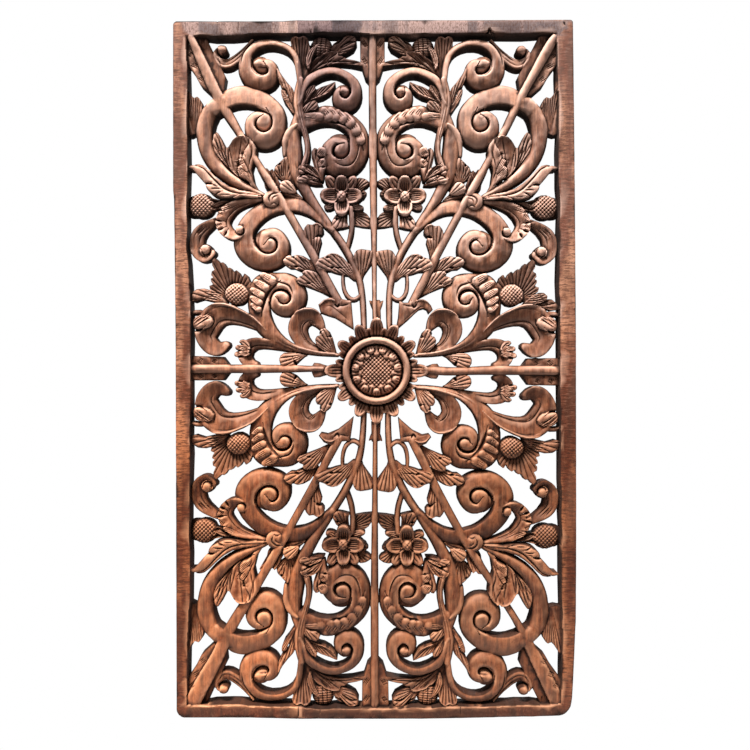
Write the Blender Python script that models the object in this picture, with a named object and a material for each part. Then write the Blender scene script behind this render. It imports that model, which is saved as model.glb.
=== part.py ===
"""Carved wall panel: one pierced wooden board, carved in relief inside a plain border.

Metres, +Z up. The panel hangs flat on a wall: its back lies in the plane y = 0, its carved
front faces -Y, and the origin is the middle of the back, behind the medallion.

The openwork is laid out in millimetres on the panel: u to the right, v up, h out of the
wall. The tables describe the upper right quarter. The other three quarters are its mirror
images, each moved a little by the drift of the carver's hand.
"""
import bmesh
import bpy
import math
import numpy as np

MM = 0.001
WIDTH = 610.0
HEIGHT = 1065.0
DEPTH = 30.0

# The opening that holds the openwork, and the softened outer corners of the border.
OPENING_LEFT = -283.0
OPENING_RIGHT = 282.0
OPENING_TOP = 512.0
OPENING_BOTTOM = -514.0
CORNER_RADII = {"top_right": 4.0, "top_left": 5.0, "bottom_left": 12.0, "bottom_right": 18.0}

# The medallion in the middle.
MEDALLION_CENTRE = (3.0, -2.0)
CORONA_RADIUS = 66.0
CORONA_SCALLOP = 5.0
CORONA_LOBES = 16
CORONA_HEIGHT = 19.0
RING_RADIUS = 46.5
RING_TUBE = 5.5
RING_LEVEL = 24.0
RING_SEGMENTS = 32
BOSS_RADIUS = 30.0
BOSS_RISE = 5.0

# The level of the arrow shafts along the two axes, how far it falls towards the medallion and
# how far the section's edges drop.
SHAFT_LEVEL = 27.0
SHAFT_FALL = 3.0
SHAFT_DROP = 5.0

WOOD_COLOUR = (0.23, 0.10, 0.055, 1.0)
WOOD_ROUGHNESS = 0.6

QUARTERS = {"upper_right": (1, 1), "upper_left": (-1, 1), "lower_left": (-1, -1), "lower_right": (1, -1)}

# Stems and scrolls: (u, v, half width) along the middle line, then the crown's level at
# the start and at the end, how far its edges drop, and the number of stretches.
STEMS = {
    "top_volute": (
        [(105, 415, 4), (108, 458, 4.8), (119, 487, 5.5), (150, 503.5, 6.6), (181, 491, 8), (190, 470, 9.2),
         (186, 448, 10), (169, 440, 11), (153, 447, 10.5), (148.5, 462, 8.6), (155, 473, 6),
          (166, 474.5, 4)],
        25, 26, 8, 18),
    "corner_volute": (
        [(232, 398, 9), (218, 412, 12), (188, 420, 16.5), (151, 405, 13), (140, 390, 11), (138, 374, 10),
         (146, 356, 13), (163, 347, 14), (180, 352, 13), (186, 368, 10.5), (181, 383, 8.5), (168, 389, 6)],
        27, 28, 10, 18),
    "hook_volute": (
        [(108, 405, 4), (103, 428, 6), (92, 443, 6.5), (60, 458, 6.5), (30, 446, 7.6), (22.5, 430, 8.3),
         (24, 413, 10), (35, 403, 11), (48, 406, 9), (54, 418, 6.5), (48, 429, 5)],
        26, 25, 7, 16),
    "bead_volute": (
        [(105, 372, 9), (82, 389, 15), (48, 386, 14), (20, 358, 14), (18, 338, 15), (24, 320, 15),
         (38, 308, 14.5), (55, 308, 14), (70, 318, 13), (76, 333, 11), (68, 345, 9), (52, 349, 7)],
        25, 25, 7, 18),
    "comma_volute": (
        [(62, 212, 6), (90, 239, 9.5), (125, 250, 12), (165, 240, 14), (196, 208, 16), (198, 186, 16.5),
         (187, 168, 14), (166, 161, 12.5), (147, 165, 11), (136, 180, 10.5), (138, 197, 9), (152, 207, 7)],
        22, 27, 10, 19),
    "low_bead_volute": (
        [(62, 21, 3), (95, 23.5, 4), (138, 37, 8), (166, 70, 13), (175, 113, 16), (165, 131, 15),
          (148, 138, 12),
         (130, 136, 10.5), (118, 124, 10.5), (117, 107, 10), (126, 93, 9.5), (141, 89, 8.5), (152, 97, 7)],
        22, 26, 10, 19),
    "long_stem": (
        [(109, 395, 5), (119, 355, 12), (119, 335, 14), (113, 298, 11), (85, 246, 7.5), (54, 200, 6.2),
         (35, 165, 6.3), (24, 125, 5.5), (23, 60, 4.6)],
        24, 20, 6, 13),
    "trunk": (
        [(94, 350, 4), (105, 380, 6.5), (109, 410, 7.5), (106, 442, 5)],
        25, 26, 6, 4),
    "side_stem": (
        [(163, 262, 4), (203, 283, 8.5), (241, 318, 11.5), (252, 363, 13), (248, 386, 13.5), (238, 413, 7)],
        22, 27, 8, 8),
    "flower_stalk": (
        [(33, 246, 4), (33, 212, 4.3), (42, 182, 4)],
        22, 18, 4, 3),
    "loop": (
        [(49, 148, 2.5), (50, 130, 3), (46, 113, 3.6), (36, 106, 3.4), (24, 114, 3)],
        20, 20, 3, 6),
    "top_curl": (
        [(178, 503, 2.5), (199, 477, 7), (219, 466, 8.5), (229, 472, 6.5), (233, 482, 4.6), (226, 490, 4)],
        23, 22, 4, 8),
    "big_leaf": (
        [(148, 43, 3), (182, 66, 8), (225, 82, 16), (246, 76, 20), (257, 60, 19), (259, 45, 15),
         (246, 30, 12), (229, 35, 6)],
        22, 27, 6, 10),
    "small_leaf": (
        [(130, 27, 3), (168, 37, 8), (185, 37, 10), (197, 30, 12), (200, 18, 11), (194, 9, 8), (184, 7, 4)],
        20, 23, 5, 8),
    "inner_leaf": (
        [(64, 22, 3), (100, 33, 8), (113, 44, 12), (119, 60, 15), (112, 75, 15), (98, 79, 13), (84, 62, 5)],
        21, 26, 6, 10),
    "curl_leaf": (
        [(164, 257, 2.5), (204, 247, 8), (220, 236, 11), (227, 221, 11), (220, 207, 9.5), (205, 201, 5.5),
         (196, 208, 4.5)],
        22, 27, 5, 9),
    "side_curl_leaf": (
        [(238, 224, 5), (263, 204, 11), (268, 190, 11.5), (266, 176, 10), (256, 168, 7.5), (244, 175, 5)],
        21, 26, 5, 8),
}

# The diagonal arrow shafts, which the carver made broader and flatter in the lower quarters:
# (u, v, half width) from the corner to the head, as if in the upper right quarter.
DIAGONAL_SHAFTS = {
    "upper_right": [(275, 508, 5.5), (265, 490, 7.2), (237, 440, 6.2), (216, 400, 6.6), (194, 355, 5.9),
                    (138, 254, 6.2), (50, 88, 6.3)],
    "upper_left": [(274, 508, 5.5), (247, 450, 8), (225, 405, 8.3), (211, 382, 7.3), (196, 356, 5.6),
                   (138, 254, 6.2), (50, 88, 6.3)],
    "lower_left": [(272, 503, 12), (251, 467, 11.3), (233, 437, 9.8), (215, 398, 9), (191, 357, 7.7),
                   (138, 254, 6.2), (50, 88, 6.3)],
    "lower_right": [(276, 503, 11), (251, 453, 10), (238, 427, 8.5), (222, 393, 6), (200, 355, 5.2),
                    (138, 254, 6.2), (50, 88, 6.3)],
}
DIAGONAL_START, DIAGONAL_END = 29, 22
DIAGONAL_DROP = 6
DIAGONAL_STRETCHES = 9

# Leaves: base, middle and tip of the midrib, the greatest half width, the level at the base
# and at the tip, and how blunt the tip is, from 0, a point, to 1, round.
LEAVES = {
    "fan_left": ((106, 448), (100, 478), (98, 508), 9, 22, 25, 1),
    "fan_right": ((107, 452), (109, 481), (112, 508), 9, 22, 25, 1),
    "arched": ((103, 438), (82, 467), (50, 484), 8, 20, 22, 0),
    "bridge": ((99, 440), (60, 467), (8, 464), 8.5, 18, 17, 1),
    "corner_bud": ((58, 482), (40, 494), (20, 508), 14, 19, 22, 1),
    "spear": ((107, 385), (85, 421), (53, 440), 9, 22, 24, 0),
    "spear_up": ((107, 396), (98, 418), (85, 434), 6, 22, 25, 0),
    "spear_low": ((107, 384), (96, 399), (79, 405), 6.5, 22, 25, 1),
    "outer_long": ((112, 385), (124, 424), (141, 461), 9.5, 20, 23, 0),
    "outer_short": ((114, 386), (125, 407), (133, 431), 7.5, 20, 24, 0),
    "twin_lobe": ((74, 290), (80, 315), (81, 341), 11, 24, 27, 1),
    "tongue": ((66, 286), (88, 299), (114, 302), 11, 20, 26, 1),
    "tongue_low": ((72, 284), (93, 289), (114, 292), 6.5, 18, 25, 1),
    "under_stem": ((123, 283), (134, 298), (145, 311), 10, 16, 19, 1),
    "shell": ((106, 259), (121, 270), (137, 282), 10, 20, 26, 1),
    "knot_fan_left": ((140, 273), (149, 289), (159, 306), 9, 20, 22, 1),
    "knot_fan_right": ((145, 274), (159, 289), (173, 304), 7.5, 20, 24, 1),
    "heart_left": ((172, 266), (189, 308), (193, 357), 15, 20, 24, 1),
    "heart_right": ((178, 270), (205, 310), (201, 357), 14, 20, 25, 1),
    "heart_side": ((185, 277), (216, 306), (237, 361), 9, 18, 22, 0),
    "edge_leaf": ((256, 350), (268, 382), (263, 415), 14, 20, 23, 1),
    "edge_point": ((272, 360), (275, 392), (280, 430), 8, 20, 22, 0),
    "long_leaf": ((166, 262), (232, 279), (282, 311), 13, 22, 22, 0),
    "berry_sheath": ((212, 256), (236, 258), (257, 268), 8, 18, 21, 0),
    "palm_middle": ((226, 104), (232, 135), (241, 166), 10, 19, 22, 0),
    "palm_left": ((216, 112), (218, 135), (232, 158), 9, 18, 21, 0),
    "palm_near": ((205, 112), (205, 130), (208, 149), 8, 18, 21, 1),
    "palm_first": ((196, 112), (194, 128), (197, 144), 6, 18, 20, 1),
    "palm_right": ((228, 106), (239, 128), (246, 148), 7, 18, 21, 0),
    "palm_low": ((222, 97), (244, 107), (263, 111), 8, 18, 22, 1),
    "palm_tail": ((240, 95), (262, 101), (284, 95), 6.5, 18, 20, 0),
    "side_leaf": ((66, 22), (79, 40), (80, 62), 12.5, 20, 24, 1),
    "low_leaf": ((104, 21), (128, 13), (149, 14), 11.5, 18, 21, 1),
    "pad_leaf": ((92, 165), (89, 195), (88, 222), 13.5, 18, 22, 1),
    "axis_leaf": ((24, 136), (17, 160), (15, 183), 13, 17, 21, 1),
    "mid_leaf": ((24, 136), (50, 160), (86, 160), 12.5, 19, 23, 1),
    "shaft_leaf": ((91, 146), (113, 163), (138, 162), 11, 18, 22, 1),
    "shaft_leaf_low": ((72, 112), (93, 135), (118, 138), 11, 18, 22, 1),
    "flower_leaf_top": ((36, 268), (20, 277), (2, 285), 10, 17, 18, 1),
    "flower_leaf_low": ((40, 240), (20, 229), (2, 226), 11, 16, 17, 1),
    "flower_leaf_curl": ((42, 242), (49, 227), (58, 216), 10, 16, 18, 1),
    "sepal_top_left": ((44, 268), (34, 280), (26, 293), 8, 19, 22, 1),
    "sepal_top_right": ((50, 268), (59, 281), (68, 293), 8, 19, 22, 1),
    "sepal_low_left": ((44, 258), (30, 247), (12, 243), 6, 18, 20, 1),
    "sepal_low_right": ((52, 258), (62, 249), (71, 242), 7, 18, 20, 1),
}

LEAF_DROP = 4

# Flower petals on the flower's centre: direction in degrees, length, half width. Then their
# levels at the centre and at the tip, and how far the section's edges drop.
FLOWER_CENTRE = (46.0, 264.0)
PETALS = [(90, 28, 12), (3, 29, 12), (178, 27, 12), (-90, 26, 12)]
PETAL_START, PETAL_END = 20, 26
PETAL_DROP = 3

# Domes: centre, radii along u and v, and the level of the top.
DOMES = {
    "top_eye": (166, 467, 8, 8, 25),
    "corner_eye": (163, 378, 9, 9, 27),
    "hook_eye": (43, 424, 6, 6, 24),
    "bead_eye": (45.5, 337, 11, 11, 24),
    "comma_eye": (157, 193, 10, 10, 26),
    "low_eye": (139, 108, 10, 9, 25),
    "curl_eye": (223, 487, 7.5, 7, 24),
    "side_eye": (253, 178, 7, 7, 24),
    "knot": (152.5, 253, 12.5, 13, 28),
    "side_berry": (258, 248, 20, 17, 26),
    "low_berry": (209, 113, 18, 17, 27),
    "top_berry": (74, 493, 16.5, 16, 24),
    "flower_knob": (46.5, 264, 7, 8, 27),
}

# Beads on the two beaded scrolls: centre and radii; they all rise to BEAD_LEVEL.
BEAD_LEVEL = 27.0
BEADS = [
    (85, 389, 12, 6.5), (66, 392, 7.5, 8), (55, 390, 7, 7.5), (44, 387, 7, 7.5), (33, 380, 7, 7.5),
    (24, 369, 6.5, 7), (16, 356, 6.5, 7), (158, 137, 8.5, 8), (168, 128.5, 7, 7), (176, 119, 6.5, 6.5),
    (180.5, 106.5, 7, 6.5),
]

# Webs left behind the curls, so that each curl is one with its scroll: centre, radius, level.
WEBS = {
    "top_volute": (168, 463, 19, 12),
    "corner_volute": (164, 378, 20, 12),
    "hook_volute": (41, 420, 16, 12),
    "bead_volute": (47, 335, 25, 14),
    "comma_volute": (157, 190, 22, 12),
    "low_bead_volute": (139, 110, 22, 12),
    "side_curl": (255, 177, 12, 12),
    "side_berry": (271, 247, 17, 16),
}

# Flat parts of the arrows: feathers and heads, as outlines in order, and their level.
PLATES = {
    "upright_feather": ([(-3, 518), (15.5, 518), (15.5, 470), (8, 446), (-3, 436)], 21),
    "diagonal_feather_in": ([(281, 518), (253, 518), (235, 478), (218, 446), (222, 424), (236, 424)], 21),
    "diagonal_feather_out": ([(286, 518), (286, 476), (267, 450), (258, 434), (238, 417), (230, 420)], 20),
    "level_feather": ([(222, 0), (234, 17), (286, 17.5), (286, 0)], 21),
    "upright_head": ([(2.5, 107), (13, 106), (9, 88), (5, 70), (0, 66)], 21),
    "level_head": ([(66, 0), (78, 4), (95, 9), (99, 2)], 21),
    "diagonal_head": (
        [(38, 104), (57, 104), (74, 107), (83, 101), (88, 92), (83, 87), (72, 94.5), (62, 90),
          (40, 60), (34, 60)],
        22),
}

# Drift of each quarter from a true mirror image: at a named place of the upper right
# quarter, how far the same place lies in the other quarters, outwards and up or down.
DRIFT = {
    "top_volute": ((168, 466), {"upper_left": (9, -1), "lower_left": (8, 0), "lower_right": (3, 4)}),
    "fan": ((105, 500), {"upper_left": (8, 1), "lower_left": (5, 6), "lower_right": (8, 6)}),
    "top_curl": ((223, 487), {"upper_left": (10, 2), "lower_left": (8, 0), "lower_right": (4, 2)}),
    "corner": ((280, 505), {"upper_left": (6, 1), "lower_left": (2, 4), "lower_right": (1, 3)}),
    "hook_volute": ((40, 425), {"upper_left": (6, 0), "lower_left": (3, 5), "lower_right": (5, 6)}),
    "corner_volute": ((164, 380), {"upper_left": (8, -1), "lower_left": (9, 6), "lower_right": (4, 6)}),
    "bead_volute": ((46, 338), {"upper_left": (6, 0), "lower_left": (4, 3), "lower_right": (5, 3)}),
    "side_stem": ((252, 355), {"upper_left": (8, 0), "lower_left": (7, 0), "lower_right": (2, 2)}),
    "heart": ((196, 340), {"upper_left": (8, 1), "lower_left": (5, -2), "lower_right": (-1, 6)}),
    "flower": ((46, 264), {"upper_left": (4, 0), "lower_left": (1, 3), "lower_right": (3, 4)}),
    "knot": ((152, 253), {"upper_left": (5, 5), "lower_left": (-2, 5), "lower_right": (0, 10)}),
    "side_berry": ((258, 248), {"upper_left": (5, 2), "lower_left": (0, -2), "lower_right": (1, 7)}),
    "comma_volute": ((157, 193), {"upper_left": (4, 3), "lower_left": (5, 4), "lower_right": (1, 6)}),
    "side_curl": ((253, 177), {"upper_left": (3, 4), "lower_left": (2, 0), "lower_right": (2, 10)}),
    "low_berry": ((209, 113), {"upper_left": (2, 1), "lower_left": (-2, -1), "lower_right": (1, 5)}),
    "low_volute": ((139, 108), {"upper_left": (1, 0), "lower_left": (-2, 2), "lower_right": (-3, 5)}),
    "mid_leaf": ((50, 160), {"upper_left": (0, 1), "lower_left": (2, 3), "lower_right": (2, 5)}),
    "inner_leaf": ((105, 65), {"upper_left": (-3, 2), "lower_left": (-3, 4), "lower_right": (-1, 6)}),
    "stem_foot": ((23, 66), {"upper_left": (-8, 0), "lower_left": (-8, 4), "lower_right": (-3, 4)}),
    "big_leaf": ((250, 45), {"upper_left": (-2, 4), "lower_left": (-2, -1), "lower_right": (2, 8)}),
    "small_leaf": ((195, 25), {"upper_left": (-4, 1), "lower_left": (-4, 1), "lower_right": (0, 6)}),
}
DRIFT_REACH = 45.0

# How finely the shapes are laid out, and how many facets the finished solid keeps.
SEGMENTS_AROUND = 10
DOME_RINGS = 4
BOSS_SEGMENTS = 24
TUBE_SEGMENTS = 8
CORNER_STEPS = 3
STEPS_PER_LOBE = 3
LEAF_STEPS = 4
CROWN = (-1.0, -0.5, 0.5, 1.0)
LEAF_CROWN = (-1.0, 0.0, 1.0)
TRIANGLE_BUDGET = 9200

# The shapes run a little past the back of the board, each to its own depth, and are then
# planed off flush with it.
OVERRUN = 2.0
OVERRUN_STEP = 0.01
BACK_TRUE = 0.5
SPECK = 0.02

# The four axial arrow shafts: (u, v, half width) from the border to the head.
SHAFTS = {
    "upper": [(-3, 518, 6), (-3, 400, 6), (-1.5, 250, 5.5), (-0.5, 150, 4), (0, 66, 3.6)],
    "lower": [(0.5, -520, 6), (0, -350, 6), (0.5, -200, 4.5), (1, -66, 3.6)],
    "left": [(-288, 1, 6.5), (-150, 1, 6.2), (-66, 1, 4)],
    "right": [(286, -2, 6.8), (150, -2, 6.5), (66, -1, 4)],
}


def clear_scene():
    for item in list(bpy.data.objects):
        bpy.data.objects.remove(item)


def new_collection(name):
    collection = bpy.data.collections.new(name)
    bpy.context.scene.collection.children.link(collection)
    return collection


def drift(points, quarter):
    """Move points of the upper right quarter by the drift of the named quarter."""
    moved = np.array(points, float)
    if quarter == "upper_right":
        return moved
    total = np.full(len(moved), 1e-6)
    shift = np.zeros((len(moved), 2))
    for place, offsets in DRIFT.values():
        distance = np.hypot(moved[:, 0] - place[0], moved[:, 1] - place[1])
        weight = np.exp(-0.5 * (distance / DRIFT_REACH) ** 2)
        total += weight
        shift += weight[:, None] * np.array(offsets[quarter], float)
    moved[:, :2] += shift / total[:, None]
    return moved


def in_quarter(points, quarter):
    """Points of the upper right quarter, as (u, v, ...), drifted and mirrored into a quarter."""
    moved = drift(points, quarter)
    moved[:, 0] *= QUARTERS[quarter][0]
    moved[:, 1] *= QUARTERS[quarter][1]
    return moved


def overrun(collection):
    """How far behind the back plane the next shape of a collection starts."""
    return -OVERRUN - OVERRUN_STEP * len(collection.objects)


def to_world(u, v, h):
    """Panel millimetres to metres: u is +X, v is +Z, and h comes out of the wall, to -Y."""
    return (u * MM, -h * MM, v * MM)


def smooth_line(points, count):
    """A natural cubic spline through the points, sampled at even steps of its length."""
    knots = np.asarray(points, float)
    chords = np.hypot(np.diff(knots[:, 0]), np.diff(knots[:, 1]))
    where = np.concatenate([[0.0], np.cumsum(np.sqrt(chords))])
    gap = np.diff(where)
    size = len(knots)
    matrix = np.eye(size)
    right = np.zeros_like(knots)
    for i in range(1, size - 1):
        matrix[i, i - 1:i + 2] = gap[i - 1], 2 * (gap[i - 1] + gap[i]), gap[i]
        right[i] = 6 * ((knots[i + 1] - knots[i]) / gap[i] - (knots[i] - knots[i - 1]) / gap[i - 1])
    bend = np.linalg.solve(matrix, right)

    def at(values):
        i = np.clip(np.searchsorted(where, values) - 1, 0, size - 2)
        a = ((where[i + 1] - values) / gap[i])[:, None]
        b = 1 - a
        cubic = ((a ** 3 - a) * bend[i] + (b ** 3 - b) * bend[i + 1]) * gap[i][:, None] ** 2 / 6
        return a * knots[i] + b * knots[i + 1] + cubic

    fine = np.linspace(0, where[-1], 12 * count)
    line = at(fine)
    length = np.concatenate([[0.0], np.cumsum(np.hypot(np.diff(line[:, 0]), np.diff(line[:, 1])))])
    return at(np.interp(np.linspace(0, length[-1], count), length, fine))


def leaf_line(base, middle, tip, half_width, blunt, count):
    """The midrib of a leaf, an arc through three points, with the half width along it."""
    along = np.linspace(0, 1, count)
    base, middle, tip = (np.array(point, float) for point in (base, middle, tip))
    handle = 2 * middle - (base + tip) / 2
    step = along[:, None]
    rib = (1 - step) ** 2 * base + 2 * step * (1 - step) * handle + step ** 2 * tip
    rise = 0.3 + 0.7 * np.sin(np.pi / 2 * np.clip(along / 0.6, 0, 1))
    power = 2.0 + 3.0 * blunt
    fall = np.clip(1 - np.clip(along, 0, 0.995) ** power, 0, 1) ** (1.0 - 0.45 * blunt)
    return np.column_stack([rib, np.maximum(half_width * rise * fall, 0.4)])


def add_mesh(name, vertices, faces, collection):
    mesh = bpy.data.meshes.new(name)
    mesh.from_pydata([to_world(*vertex) for vertex in vertices], [], faces)
    made = bpy.data.objects.new(name, mesh)
    collection.objects.link(made)
    outward(made)
    return made


def outward(made):
    """Weld the mesh and turn all its faces outwards."""
    shape = bmesh.new()
    shape.from_mesh(made.data)
    bmesh.ops.remove_doubles(shape, verts=shape.verts, dist=0.01 * MM)
    bmesh.ops.recalc_face_normals(shape, faces=shape.faces)
    if shape.calc_volume(signed=True) < 0:
        bmesh.ops.reverse_faces(shape, faces=shape.faces)
    shape.to_mesh(made.data)
    shape.free()


def loft(name, line, start_level, end_level, drop, crown, collection):
    """A ribbon of wood from the back plane up to a crowned top, along a line of
    (u, v, half width). Its top is highest in the middle and falls by drop at its edges."""
    count = len(line)
    run = np.gradient(line[:, :2], axis=0)
    length = np.maximum(np.hypot(run[:, 0], run[:, 1]), 1e-6)
    run /= length[:, None]
    turn = np.gradient(np.unwrap(np.arctan2(run[:, 1], run[:, 0]))) / length
    room = 0.9 / np.maximum(np.abs(turn), 1e-6)
    left = np.where(turn > 0, np.minimum(line[:, 2], room), line[:, 2])
    right = np.where(turn < 0, np.minimum(line[:, 2], room), line[:, 2])
    across = np.column_stack([-run[:, 1], run[:, 0]])
    levels = np.linspace(start_level, end_level, count)
    bottom = overrun(collection)
    vertices = []
    for i in range(count):
        for side in crown:
            reach = side * (left[i] if side > 0 else right[i])
            u, v = line[i, :2] + across[i] * reach
            vertices.append((u, v, levels[i] - drop * (1 - math.sqrt(1 - side * side))))
        for side in (1, -1):
            u, v = line[i, :2] + across[i] * side * (left[i] if side > 0 else right[i])
            vertices.append((u, v, bottom))
    ring = len(crown) + 2
    faces = [list(range(ring)), list(range((count - 1) * ring, count * ring))]
    for i in range(count - 1):
        for j in range(ring):
            k = (j + 1) % ring
            faces.append([i * ring + j, i * ring + k, (i + 1) * ring + k, (i + 1) * ring + j])
    return add_mesh(name, vertices, faces, collection)


def dome(name, centre, radii, level, segments, collection):
    """A dome on an upright wall that goes down through the board."""
    bottom = overrun(collection)
    shape = bmesh.new()
    bmesh.ops.create_uvsphere(shape, u_segments=segments, v_segments=DOME_RINGS, radius=1.0)
    rise = min(0.8 * min(radii), 0.5 * level)
    for vertex in shape.verts:
        x, y, z = vertex.co
        reach = math.hypot(x, y)
        if z < -0.1:
            spread = 1 / reach if reach > 0.1 else 0.0
            height = bottom
        else:
            spread = 1.0
            height = level - rise + rise * z
        vertex.co = to_world(centre[0] + x * spread * radii[0], centre[1] + y * spread * radii[1], height)
    mesh = bpy.data.meshes.new(name)
    shape.to_mesh(mesh)
    shape.free()
    made = bpy.data.objects.new(name, mesh)
    collection.objects.link(made)
    outward(made)
    return made


def board(name, outlines, bottom, top, collection):
    """A flat board between two levels, from one closed outline and any holes in it."""
    curve = bpy.data.curves.new(name, "CURVE")
    curve.dimensions = "2D"
    curve.fill_mode = "BOTH"
    curve.extrude = (top - bottom) / 2 * MM
    for outline in outlines:
        spline = curve.splines.new("POLY")
        spline.points.add(len(outline) - 1)
        for point, (u, v) in zip(spline.points, outline):
            point.co = (u * MM, v * MM, 0.0, 1.0)
        spline.use_cyclic_u = True
    flat = bpy.data.objects.new(name + "_outline", curve)
    collection.objects.link(flat)
    flat.rotation_euler = (math.pi / 2, 0.0, 0.0)
    flat.location = (0.0, -(top + bottom) / 2 * MM, 0.0)
    bpy.context.view_layer.update()
    mesh = bpy.data.meshes.new_from_object(flat.evaluated_get(bpy.context.evaluated_depsgraph_get()))
    mesh.transform(flat.matrix_world)
    bpy.data.objects.remove(flat)
    made = bpy.data.objects.new(name, mesh)
    collection.objects.link(made)
    outward(made)
    return made


def border_outline():
    """The outer outline of the border, with its softened corners, anticlockwise."""
    half_width = WIDTH / 2
    half_height = HEIGHT / 2
    corners = [("top_right", 1, 1, 0), ("top_left", -1, 1, 90),
               ("bottom_left", -1, -1, 180), ("bottom_right", 1, -1, 270)]
    outline = []
    for name, side, end, start in corners:
        radius = CORNER_RADII[name]
        for step in range(CORNER_STEPS + 1):
            angle = math.radians(start + 90 * step / CORNER_STEPS)
            u = side * (half_width - radius) + radius * math.cos(angle)
            v = end * (half_height - radius) + radius * math.sin(angle)
            outline.append((u, v))
    return outline


def make_border(collection):
    opening = [(OPENING_LEFT, OPENING_BOTTOM), (OPENING_RIGHT, OPENING_BOTTOM),
               (OPENING_RIGHT, OPENING_TOP), (OPENING_LEFT, OPENING_TOP)]
    return board("border", [border_outline(), opening], 0.0, DEPTH, collection)


def make_corona(collection):
    """The scalloped disc around the medallion, which the rest of the carving is fused to."""
    u, v = MEDALLION_CENTRE
    corona = []
    count = STEPS_PER_LOBE * CORONA_LOBES
    for step in range(count):
        angle = 2 * math.pi * step / count
        reach = CORONA_RADIUS + CORONA_SCALLOP * math.cos(CORONA_LOBES * angle)
        corona.append((u + reach * math.cos(angle), v + reach * math.sin(angle)))
    return board("carved_panel", [corona], -OVERRUN, CORONA_HEIGHT, collection)


def make_medallion(collection):
    u, v = MEDALLION_CENTRE
    bpy.ops.mesh.primitive_torus_add(
        major_radius=RING_RADIUS * MM, minor_radius=RING_TUBE * MM, major_segments=RING_SEGMENTS,
        minor_segments=TUBE_SEGMENTS,
        location=to_world(u, v, RING_LEVEL), rotation=(math.pi / 2, 0.0, 0.0))
    adopt("medallion_ring", collection)
    bpy.ops.mesh.primitive_cylinder_add(
        vertices=RING_SEGMENTS, radius=RING_RADIUS * MM, depth=RING_LEVEL * MM,
        location=to_world(u, v, RING_LEVEL / 2), rotation=(math.pi / 2, 0.0, 0.0))
    adopt("medallion_floor", collection)
    dome("medallion_boss", (u, v), (BOSS_RADIUS, BOSS_RADIUS), RING_LEVEL + BOSS_RISE, BOSS_SEGMENTS,
         collection)


def adopt(name, collection):
    """Name the primitive just added and move it to a collection."""
    made = bpy.context.object
    made.name = name
    for owner in list(made.users_collection):
        owner.objects.unlink(made)
    collection.objects.link(made)
    made.data.transform(made.matrix_world)
    made.matrix_world.identity()
    return made


def make_shafts(collection):
    for name, points in SHAFTS.items():
        loft(name + "_shaft", smooth_line(points, len(points)), SHAFT_LEVEL, SHAFT_LEVEL - SHAFT_FALL,
             SHAFT_DROP, CROWN, collection)


def make_quarter(quarter, collection):
    for name, (points, start, end, drop, stretches) in STEMS.items():
        line = smooth_line(in_quarter(points, quarter), stretches + 1)
        loft(name, line, start, end, drop, CROWN, collection)
    line = smooth_line(in_quarter(DIAGONAL_SHAFTS[quarter], quarter), DIAGONAL_STRETCHES + 1)
    loft("diagonal_shaft", line, DIAGONAL_START, DIAGONAL_END, DIAGONAL_DROP, CROWN, collection)
    for name, (base, middle, tip, half_width, start, end, blunt) in LEAVES.items():
        places = in_quarter([base, middle, tip], quarter)
        line = leaf_line(*places, half_width, blunt, LEAF_STEPS)
        loft(name, line, start, end, LEAF_DROP, LEAF_CROWN, collection)
    centre = in_quarter([FLOWER_CENTRE], quarter)[0]
    side, end = QUARTERS[quarter]
    for direction, length, half_width in PETALS:
        angle = math.radians(direction)
        reach = np.array([side * math.cos(angle), end * math.sin(angle)]) * length
        line = leaf_line(centre, centre + reach / 2, centre + reach, half_width, 1, LEAF_STEPS)
        loft("petal", line, PETAL_START, PETAL_END, PETAL_DROP, LEAF_CROWN, collection)
    for name, (u, v, along, up, level) in DOMES.items():
        dome(name, in_quarter([(u, v)], quarter)[0], (along, up), level, SEGMENTS_AROUND, collection)
    for u, v, along, up in BEADS:
        dome("bead", in_quarter([(u, v)], quarter)[0], (along, up), BEAD_LEVEL, SEGMENTS_AROUND, collection)
    for name, (u, v, radius, level) in WEBS.items():
        dome(name + "_web", in_quarter([(u, v)], quarter)[0], (radius, radius), level,
             SEGMENTS_AROUND, collection)
    for name, (outline, level) in PLATES.items():
        board(name, [in_quarter(outline, quarter)], overrun(collection), level, collection)


def make_wood():
    wood = bpy.data.materials.new("aged_wood")
    wood.use_nodes = True
    shader = wood.node_tree.nodes["Principled BSDF"]
    shader.inputs["Base Color"].default_value = WOOD_COLOUR
    shader.inputs["Roughness"].default_value = WOOD_ROUGHNESS
    shader.inputs["Metallic"].default_value = 0.0
    wood.diffuse_color = WOOD_COLOUR
    return wood


def apply_modifiers(made):
    bpy.context.view_layer.update()
    finished = made.evaluated_get(bpy.context.evaluated_depsgraph_get())
    mesh = bpy.data.meshes.new_from_object(finished)
    made.modifiers.clear()
    made.data = mesh


def mend(made):
    """Drop specks smaller than SPECK and close over any edge that isn't shared by two facets."""
    shape = bmesh.new()
    shape.from_mesh(made.data)
    bmesh.ops.dissolve_degenerate(shape, dist=SPECK * MM, edges=shape.edges)
    bmesh.ops.triangulate(shape, faces=shape.faces)
    while True:
        faulty = {vertex for vertex in shape.verts if not vertex.is_manifold}
        for edge in shape.edges:
            if not edge.is_manifold:
                faulty.update(edge.verts)
        if not faulty:
            break
        around = {face for vertex in faulty for face in vertex.link_faces}
        bmesh.ops.delete(shape, geom=list(around), context="FACES")
        bmesh.ops.delete(shape, geom=[edge for edge in shape.edges if edge.is_wire], context="EDGES")
        bmesh.ops.delete(shape, geom=[v for v in shape.verts if not v.link_edges], context="VERTS")
        rim = [edge for edge in shape.edges if edge.is_boundary]
        filled = bmesh.ops.holes_fill(shape, edges=rim, sides=0)["faces"]
        bmesh.ops.triangulate(shape, faces=filled)
    shape.to_mesh(made.data)
    shape.free()


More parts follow.
